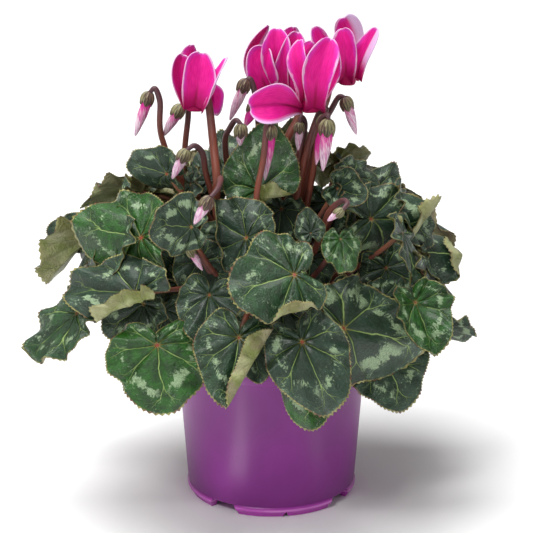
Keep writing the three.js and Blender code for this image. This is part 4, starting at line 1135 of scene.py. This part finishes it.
BLOOMS = [
    {
        "mouth": (-46, 247, -13),
        "radius": 6.5,
        "lean": 0.05,
        "route": [(-41, 263, -14), (-38, 252, -14), (-35, 225, -24), (-33, 202, -34), (-33, 186, -26)],
        "petals": [
            petal_at((-46, 248, -19), (-44, 264, -24), (-41.5, 282, -19), 20, curl=0.12),
            petal_at((-51, 249, -13), (-55, 266, -14), (-53, 281, -11), 16, (-42, -35)),
            petal_at((-47, 250, -8), (-49, 270, -3), (-47.5, 287, -5), 11, (180, 150)),
            petal_at(
                (-42, 248, -18), (-35.5, 261, -28), (-27, 279, -20), 12, (42, 72), lilac=(0, 2, 0.5),
            ),
            petal_at((-42, 249, -9), (-35, 256, -6), (-34, 243, -8), 12, (150, 150)),
        ],
    },
    {
        "mouth": (4, 254, 15),
        "radius": 7,
        "lean": 0,
        "route": [(10, 270, 20), (16, 258, 21), (16, 242, 14), (9, 226, 8)],
        "petals": [
            petal_at((-2, 256, 15), (-14, 275, 14), (-2, 299, 16), 15, (-52, -52), lilac=(0.5, 2, 0.6)),
            petal_at((0, 256, 10), (-6, 270, 3), (-3, 285, 6), 19, (-10, 20), curl=0.25),
            petal_at((6, 256, 10), (3, 278, 4), (3, 297, 9), 17),
            petal_at((5, 258, 21), (10, 280, 27), (13, 298, 26), 14, (180, 170), lilac=(-2, -0.5, 0.5)),
            petal_at((10, 254, 12), (11, 272, 5), (15, 295, 8), 18, (14, -8), curl=0.15),
        ],
    },
    {
        "mouth": (23, 246, -16),
        "radius": 6,
        "lean": 0,
        "route": [(27, 262, -9), (31, 252, -3), (26, 236, -5), (19, 212, -8)],
        "petals": [
            petal_at((18, 247, -17), (17, 270, -22), (17, 290, -15), 12, (-40, 30), sway=2.2),
            petal_at((26, 247, -21), (28, 268, -28), (35, 291, -21), 18.5, (4, -8), curl=0.1),
            petal_at((28, 248, -14), (38, 265, -14), (39.5, 284, -12), 12, (60, 60)),
            petal_at(
                (18, 247, -20), (4, 250, -40), (-13, 248, -44), 24, waist=0.22, lilac=(-2, -0.86, 0),
                crease=0.3,
            ),
            petal_at((21, 250, -12), (18, 270, -7), (24, 289, -4), 12, (180, 180)),
        ],
    },
    {
        "mouth": (45, 263, 16),
        "radius": 5.5,
        "lean": 0.05,
        "route": [(41, 279, 22), (36, 270, 22), (33, 254, 12), (27, 236, 4)],
        "petals": [
            petal_at(
                (46, 266, 20), (47, 286, 25), (43, 304, 21), 19, (180, 166), lilac=(-2, -0.35, 0.3),
            ),
            petal_at((44, 265, 13), (44, 281, 7), (42, 297, 10), 15, curl=0.15),
            petal_at((51, 266, 15), (55, 281, 13), (63, 297, 13), 14, (28, 44), lilac=(0.1, 2, 0.35)),
            petal_at((41, 266, 15), (33, 280, 13), (25, 298, 14), 13, (-40, -20)),
            petal_at((47, 267, 21), (50, 280, 28), (54, 291, 32), 13, (180, 180)),
        ],
    },
]


def curved_between(before, start, end, after, share):
    """A point on the centripetal curve through four points, between the middle two."""
    spans = ((before, start), (start, end), (end, after))
    first, second, third = [max(math.sqrt(math.dist(a, b)), 1e-4) for a, b in spans]
    leaving = (start - before) / first - (end - before) / (first + second) + (end - start) / second
    arriving = (end - start) / second - (after - start) / (second + third) + (after - end) / third
    leaving, arriving = leaving * second, arriving * second
    square = -3 * start + 3 * end - 2 * leaving - arriving
    cube = 2 * start - 2 * end + leaving + arriving
    return start + leaving * share + square * share**2 + cube * share**3


def sighted_stalk(points, thick, thin):
    """A stalk through points, from its top down, that ends in the tuber."""
    points = [*points, stalk_root(points[-1])]
    held = [2 * points[0] - points[1], *points, 2 * points[-1] - points[-2]]
    line = []
    for place in range(len(points) - 1):
        for step in range(STEPS_BETWEEN_POINTS):
            line.append(curved_between(*held[place : place + 4], step / STEPS_BETWEEN_POINTS))
    line.append(points[-1])
    share = np.linspace(0, 1, len(line))
    return tube(line, thin + (thick - thin) * smooth(share / 0.5), FLOWER_STALK_SIDES)


def tube_axis(flower):
    return unit(np.array([flower["lean"], 0, 1]))


def on_tube(flower, height):
    """The middle of a flower's tube at a height above its mouth."""
    return sighted(*flower["mouth"]) + tube_axis(flower) * height


FLOWER_STALK_BROWN = colour(126, 66, 50)
FLOWER_STALK_PURPLE = colour(84, 56, 62)
FLOWER_STALK_STREAK = colour(60, 30, 30)
flower_stalk_skin, shade, feed = new_material("flower_stalk_skin", IOR=1.45)
_, round_share, length = shade.attribute("flat").parts()
spot = shade.place()
streak = shade.vector(round_share * 9, length * 0.05, 0).noise(3, 3)
blush = spot.noise(45, 3)
brown = (length / 50 + 0.6 * (blush - 0.5)).between(0, 1)
skin_colour = brown.mixed(FLOWER_STALK_PURPLE, FLOWER_STALK_BROWN)
skin_colour = (0.35 * streak.between(0.45, 0.7)).mixed(skin_colour, FLOWER_STALK_STREAK)
fuzz = spot.noise(1500) + streak
feed(Base_Color=skin_colour, Roughness=0.4 + 0.2 * streak, Normal=fuzz.bumps(0.0002, 0.35))
flower_stalks = []
for row in BUDS:
    route = [sighted(*row["calyx"]), *[sighted(*place) for place in row["route"]]]
    flower_stalks.append(sighted_stalk(route, BUD_STALK_THICK, BUD_STALK_THIN))
for flower in BLOOMS:
    top = on_tube(flower, TUBE_LENGTH + STALK_ABOVE_TUBE)
    route = [top, *[sighted(*place) for place in flower["route"]]]
    flower_stalks.append(sighted_stalk(route, FLOWER_STALK_THICK, FLOWER_STALK_THIN))
points, faces, marks = bundled(flower_stalks)
piece = shaped("flower_stalks", points, faces, flower_stalk_skin, flat=marks)
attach(piece, "root")
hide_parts("crown")

# Buds
# Closed buds hang tip down: petals furled round each other into a twisted, pointed spindle, pale pink
# with magenta at the top.
BUD_SIDES = 30
BUD_RINGS = 26
BUD_TWIST = 2.4
# share of the length, radius
BUD_PROFILE = [
    (0, 1.1),
    (0.1, 2.7),
    (0.22, 3.1),
    (0.36, 3),
    (0.52, 2.9),
    (0.7, 2.4),
    (0.86, 1.5),
    (0.96, 0.8),
    (1, 0.3),
]


def bud_line(row):
    return sighted(*row["calyx"]), sighted(*row["tip"], row["calyx"][2])


def furled(row):
    top, end = bud_line(row)
    share = np.linspace(0, 1, BUD_RINGS)
    around = np.linspace(0, 2 * math.pi, BUD_SIDES, endpoint=False)
    radii = np.interp(share, *zip(*BUD_PROFILE)) * row["size"]
    ridge = np.abs(np.sin(1.5 * (around[None] + BUD_TWIST * share[:, None])))
    grooved = radii[:, None] * (1 + 0.16 * (ridge - 0.6) * smooth(share / 0.3)[:, None])
    return tube(top + np.outer(share, end - top), grooved, BUD_SIDES)


BUD_PALE = colour(228, 204, 214)
BUD_LILAC = colour(190, 140, 176)
BUD_MAGENTA = colour(206, 30, 140)
bud_skin, shade, feed = new_material("furled_petals", IOR=1.45)
share, around, _ = shade.attribute("flat").parts()
opening, _, _ = shade.attribute("own").parts()
fold = abs(shade.maths("FRACT", (around + share * (BUD_TWIST / (2 * math.pi))) * 3) - 0.5)
streak = shade.vector(around * 8 + share * 3, share * 1.5, opening * 9).noise(4, 3)
tint = (0.72 - share * 1.5 + 1.2 * (streak - 0.5) + 1.3 * opening).between(0.1, 0.9)
petal_colour = streak.between(0.4, 0.62).mixed(BUD_PALE, BUD_LILAC)
petal_colour = tint.mixed(petal_colour, BUD_MAGENTA)
petal_colour = (0.4 * (1 - fold.between(0.02, 0.14))).mixed(petal_colour, BUD_MAGENTA)
feed(Base_Color=petal_colour, Roughness=0.4 + 0.2 * streak, Normal=streak.bumps(0.0003, 0.4))
draws = np.random.default_rng(5)
points, faces, marks = bundled([furled(row) for row in BUDS])
openings = [row.get("open", draws.uniform(0, 0.25)) for row in BUDS]
own = np.repeat([[opening, 0, 0] for opening in openings], BUD_RINGS * BUD_SIDES, axis=0)
piece = shaped("buds", points, faces, bud_skin, flat=marks, own=own)
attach(piece, "root")
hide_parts("crown")

# Sepals
# Five short pointed sepals hold each bud and the back of each flower in a cup. They are olive-brown
# with dark stripes down them.
SEPAL_LOBES = 5
SEPAL_SIDES = 60
SEPAL_RINGS = 12
SEPAL_THICK = 0.5
CALYX_LENGTH = 8.4
CALYX_ABOVE_BUD = 0.6
CALYX_ABOVE_TUBE = 3
# share of the length, radius
FLOWER_CALYX_PROFILE = [(0, 2.7), (0.3, 4.4), (0.6, 6.2), (1, 7.6)]
CALYX_PROFILE = [(0, 1.3), (0.12, 2.9), (0.35, 3.9), (0.6, 4.1), (0.85, 3.7), (1, 3.4)]


def calyx(top, down, size, profile):
    """A cup of sepals from the stalk down, whose edge runs out in points."""
    across = unit(np.cross(down, (0.3, 1, 0.1)))
    over = np.cross(down, across)
    points, marks = [], []
    around = np.linspace(0, 2 * math.pi, SEPAL_SIDES, endpoint=False)
    point_out = np.abs(np.cos(SEPAL_LOBES / 2 * around)) ** 0.8
    for share in np.linspace(0, 1, SEPAL_RINGS):
        reach = share * (0.62 + 0.38 * point_out)
        radius = np.interp(reach, *zip(*profile)) * size * (1 + 0.05 * np.sin(SEPAL_LOBES * around))
        middle = top + np.outer(reach * CALYX_LENGTH * size, down)
        points.extend(ringed(middle, across, over, radius, around))
        marks.extend((share, place / SEPAL_SIDES, 0) for place in range(SEPAL_SIDES))
    faces = turned_faces(SEPAL_RINGS, SEPAL_SIDES)
    points, faces = thickened(np.array(points), [face[::-1] for face in faces], SEPAL_THICK)
    return points, faces, [*marks, *marks]


SEPAL_OLIVE = colour(126, 122, 86)
SEPAL_PALE = colour(170, 166, 130)
SEPAL_BROWN = colour(84, 58, 50)
SEPAL_DARK = colour(44, 34, 32)
sepal_skin, shade, feed = new_material("sepal_skin", IOR=1.45)
share, around, _ = shade.attribute("flat").parts()
spot = shade.place()
ribs = shade.vector(around * 26, share * 1.1, 0).noise(1)
base = spot.noise(80).between(0.35, 0.65).mixed(SEPAL_OLIVE, SEPAL_BROWN)
base = (0.8 * (1 - ribs.between(0.3, 0.46))).mixed(base, SEPAL_PALE)
base = (0.85 * ribs.between(0.5, 0.6)).mixed(base, SEPAL_DARK)
feed(Base_Color=base, Roughness=0.5 + 0.2 * ribs, Normal=ribs.bumps(0.0003, 0.5))
cups = []
for row in BUDS:
    top, end = bud_line(row)
    down = unit(end - top)
    cups.append(calyx(top - down * CALYX_ABOVE_BUD, down, row["size"], CALYX_PROFILE))
for flower in BLOOMS:
    top = on_tube(flower, TUBE_LENGTH + CALYX_ABOVE_TUBE)
    cups.append(calyx(top, -tube_axis(flower), flower["radius"] / 10, FLOWER_CALYX_PROFILE))
points, faces, marks = bundled(cups)
piece = shaped("sepals", points, faces, sepal_skin, flat=marks)
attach(piece, "root")
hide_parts("crown")

# Flowers
# Each flower nods: a short tube with its crimson mouth turned down, and five broad petals that are
# thrown right back and stand up, magenta with thin pale edges.
PETAL_THICK = 0.6
PETAL_COLUMNS = 17
PETAL_ROWS = 30
THROAT_SIDES = 40
THROAT_DEPTH = 5
THROAT_PLEATS = 5
# rings at the back of the tube, how far along a petal they are coloured as, and how far from an edge
TUBE_BACK_RINGS = 3
TUBE_BACK_SHARE = 0.1
TUBE_BORDER = 5
# height above the mouth, share of the radius: down outside the tube and back up inside it
THROAT_PROFILE = [
    (TUBE_LENGTH, 0.4),
    (7, 0.62),
    (5, 0.85),
    (3, 0.97),
    (1.5, 1),
    (0.4, 0.96),
    (0, 0.86),
    (0.3, 0.74),
    (1.2, 0.66),
    (3, 0.6),
    (THROAT_DEPTH, 0.5),
]


def petal_width(share, waist):
    waist = waist + (1 - waist) * smooth(share / 0.6)
    end = np.clip((share - 0.55) / 0.45, 0, 1)
    return waist * np.sqrt(1 - 0.96 * end**2.3)


def petal(row, chance):
    """A petal as a cupped strip along a curve, with its attributes."""
    start, through, end = [sighted(*row[place]) for place in ("root", "middle", "tip")]
    control = 2 * through - 0.5 * start - 0.5 * end
    columns = np.sin(np.linspace(-1, 1, PETAL_COLUMNS) * math.pi / 2)
    length = np.linalg.norm(through - start) + np.linalg.norm(end - through)
    points, flat = [], []
    for share in 1 - (1 - np.linspace(0, 1, PETAL_ROWS + 1)) ** 1.35:
        point = start * (1 - share) ** 2 + 2 * control * share * (1 - share) + end * share**2
        heading = unit((control - start) * (1 - share) + (end - control) * share)
        side = unit(np.cross(heading, EYE - point))
        roll = row["roll"][0] * (1 - share) + row["roll"][1] * share
        side = swung(side, heading, -math.radians(roll))
        facing = np.cross(side, heading)
        half = row["width"] / 2 * float(petal_width(share, row["waist"]))
        uneven = 0.1 * np.sin(7 * share + 2 * columns + 20 * chance)
        ruffle = 0.9 * np.sin(8 * share + 2.5 * columns + 20 * chance) * np.abs(columns) ** 3
        crease = row["crease"] * half * np.exp(-((columns / 0.16) ** 2))
        lifted = half * (0.35 + row["curl"]) * columns**2 + ruffle - crease
        shift = row["sway"] * math.sin(2 * math.pi * share)
        aside = columns * half * (1 + uneven) + shift
        points.extend(point + np.outer(aside, side) + np.outer(lifted, facing))
        border = np.minimum((1 - np.abs(columns)) * half, (1 - share) * length)
        lilac_from, lilac_to, lilac_above = row["lilac"]
        lilac = smooth((columns - lilac_from) / 0.25 + 0.5) * smooth((lilac_to - columns) / 0.25 + 0.5)
        lilac = lilac * smooth((share - lilac_above) / 0.3 + 0.5)
        flat.extend(zip(columns, np.full(PETAL_COLUMNS, share), border, lilac))
    flat = np.array(flat)
    faces = turned_faces(PETAL_ROWS + 1, PETAL_COLUMNS, closed=False)
    points, faces = thickened(np.array(points), faces, PETAL_THICK)
    own = [(lilac, chance, front) for front in (1, 0) for lilac in flat[:, 3]]
    return points, faces, np.tile(flat[:, :3], (2, 1)), np.array(own)


def throat(flower, chance):
    """The flower's tube, with its mouth hollowed out."""
    across = unit(np.cross(tube_axis(flower), (0.2, 1, 0)))
    over = np.cross(tube_axis(flower), across)
    around = np.linspace(0, 2 * math.pi, THROAT_SIDES, endpoint=False)
    points, flat = [], []
    for place, (height, share) in enumerate(THROAT_PROFILE):
        pleat = flower["radius"] * share * (1 + 0.04 * np.cos(THROAT_PLEATS * around))
        points.extend(ringed(on_tube(flower, height), across, over, pleat, around))
        petal_share = TUBE_BACK_SHARE if place < TUBE_BACK_RINGS else 0
        flat.extend((0, petal_share, TUBE_BORDER) for _ in around)
    faces = [face[::-1] for face in capped_faces(len(THROAT_PROFILE), THROAT_SIDES)]
    return points, faces, np.array(flat, float), np.tile([0, chance, 0.5], (len(points), 1))


PETAL_MAGENTA = colour(204, 4, 126)
PETAL_ROSE = colour(230, 34, 146)
PETAL_VIOLET = colour(210, 56, 176)
PETAL_DEEP = colour(158, 0, 76)
PETAL_EDGE = colour(230, 190, 222)
PETAL_LILAC = colour(214, 186, 222)
PETAL_GLOW = {"Subsurface_Weight": 0.06, "Subsurface_Scale": 0.002}
petal_skin, shade, feed = new_material("petal_skin", IOR=1.3, **PETAL_GLOW)
column, share, border = shade.attribute("flat").parts()
lilac, chance, front = shade.attribute("own").parts()
own_place = shade.vector(column * 5 + chance * 31, share * 1.3, front)
streak = own_place.noise(4, 4, 0.6)
cloud = shade.vector(column + chance * 17, share * 2, 0).noise(2.5)
petal_colour = (streak * 0.8 + cloud * 0.4).between(0.4, 0.8).mixed(PETAL_MAGENTA, PETAL_ROSE)
near_edge = (1 - border.between(0.4, 3.2)) * share.between(0.15, 0.5)
petal_colour = (near_edge * (0.4 + 0.6 * cloud.between(0.3, 0.6))).mixed(petal_colour, PETAL_VIOLET)
deep = (1 - share.between(0, 0.5)) * 0.8 + 0.5 * (1 - abs(column).between(0.0, 0.22)) * (1 - share)
petal_colour = (deep + 0.5 * (cloud - 0.5)).between(0, 1).mixed(petal_colour, PETAL_DEEP)
rim = 1 - (border + 3.2 * (cloud - 0.5) + 0.5 * (streak - 0.5)).between(0.1, 0.95)
petal_colour = (0.8 * rim * share.between(0.05, 0.35)).mixed(petal_colour, PETAL_EDGE)
petal_colour = (0.9 * lilac * streak.between(0.2, 0.45)).mixed(petal_colour, PETAL_LILAC)
feed(Base_Color=petal_colour, Roughness=0.5 + 0.2 * streak, Normal=streak.bumps(0.0005, 0.4))
draws = np.random.default_rng(11)
for number, flower in enumerate(BLOOMS, 1):
    sheets = [petal(row, draws.uniform()) for row in flower["petals"]]
    sheets.append(throat(flower, draws.uniform()))
    points, faces = joined((points, faces) for points, faces, _, _ in sheets)
    flat = np.concatenate([flat for _, _, flat, _ in sheets])
    own = np.concatenate([own for _, _, _, own in sheets])
    piece = shaped(f"flower_{number}", points, faces, petal_skin, sharp=180, flat=flat, own=own)
    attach(piece, "root")
    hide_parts(f"bloom_{number}")
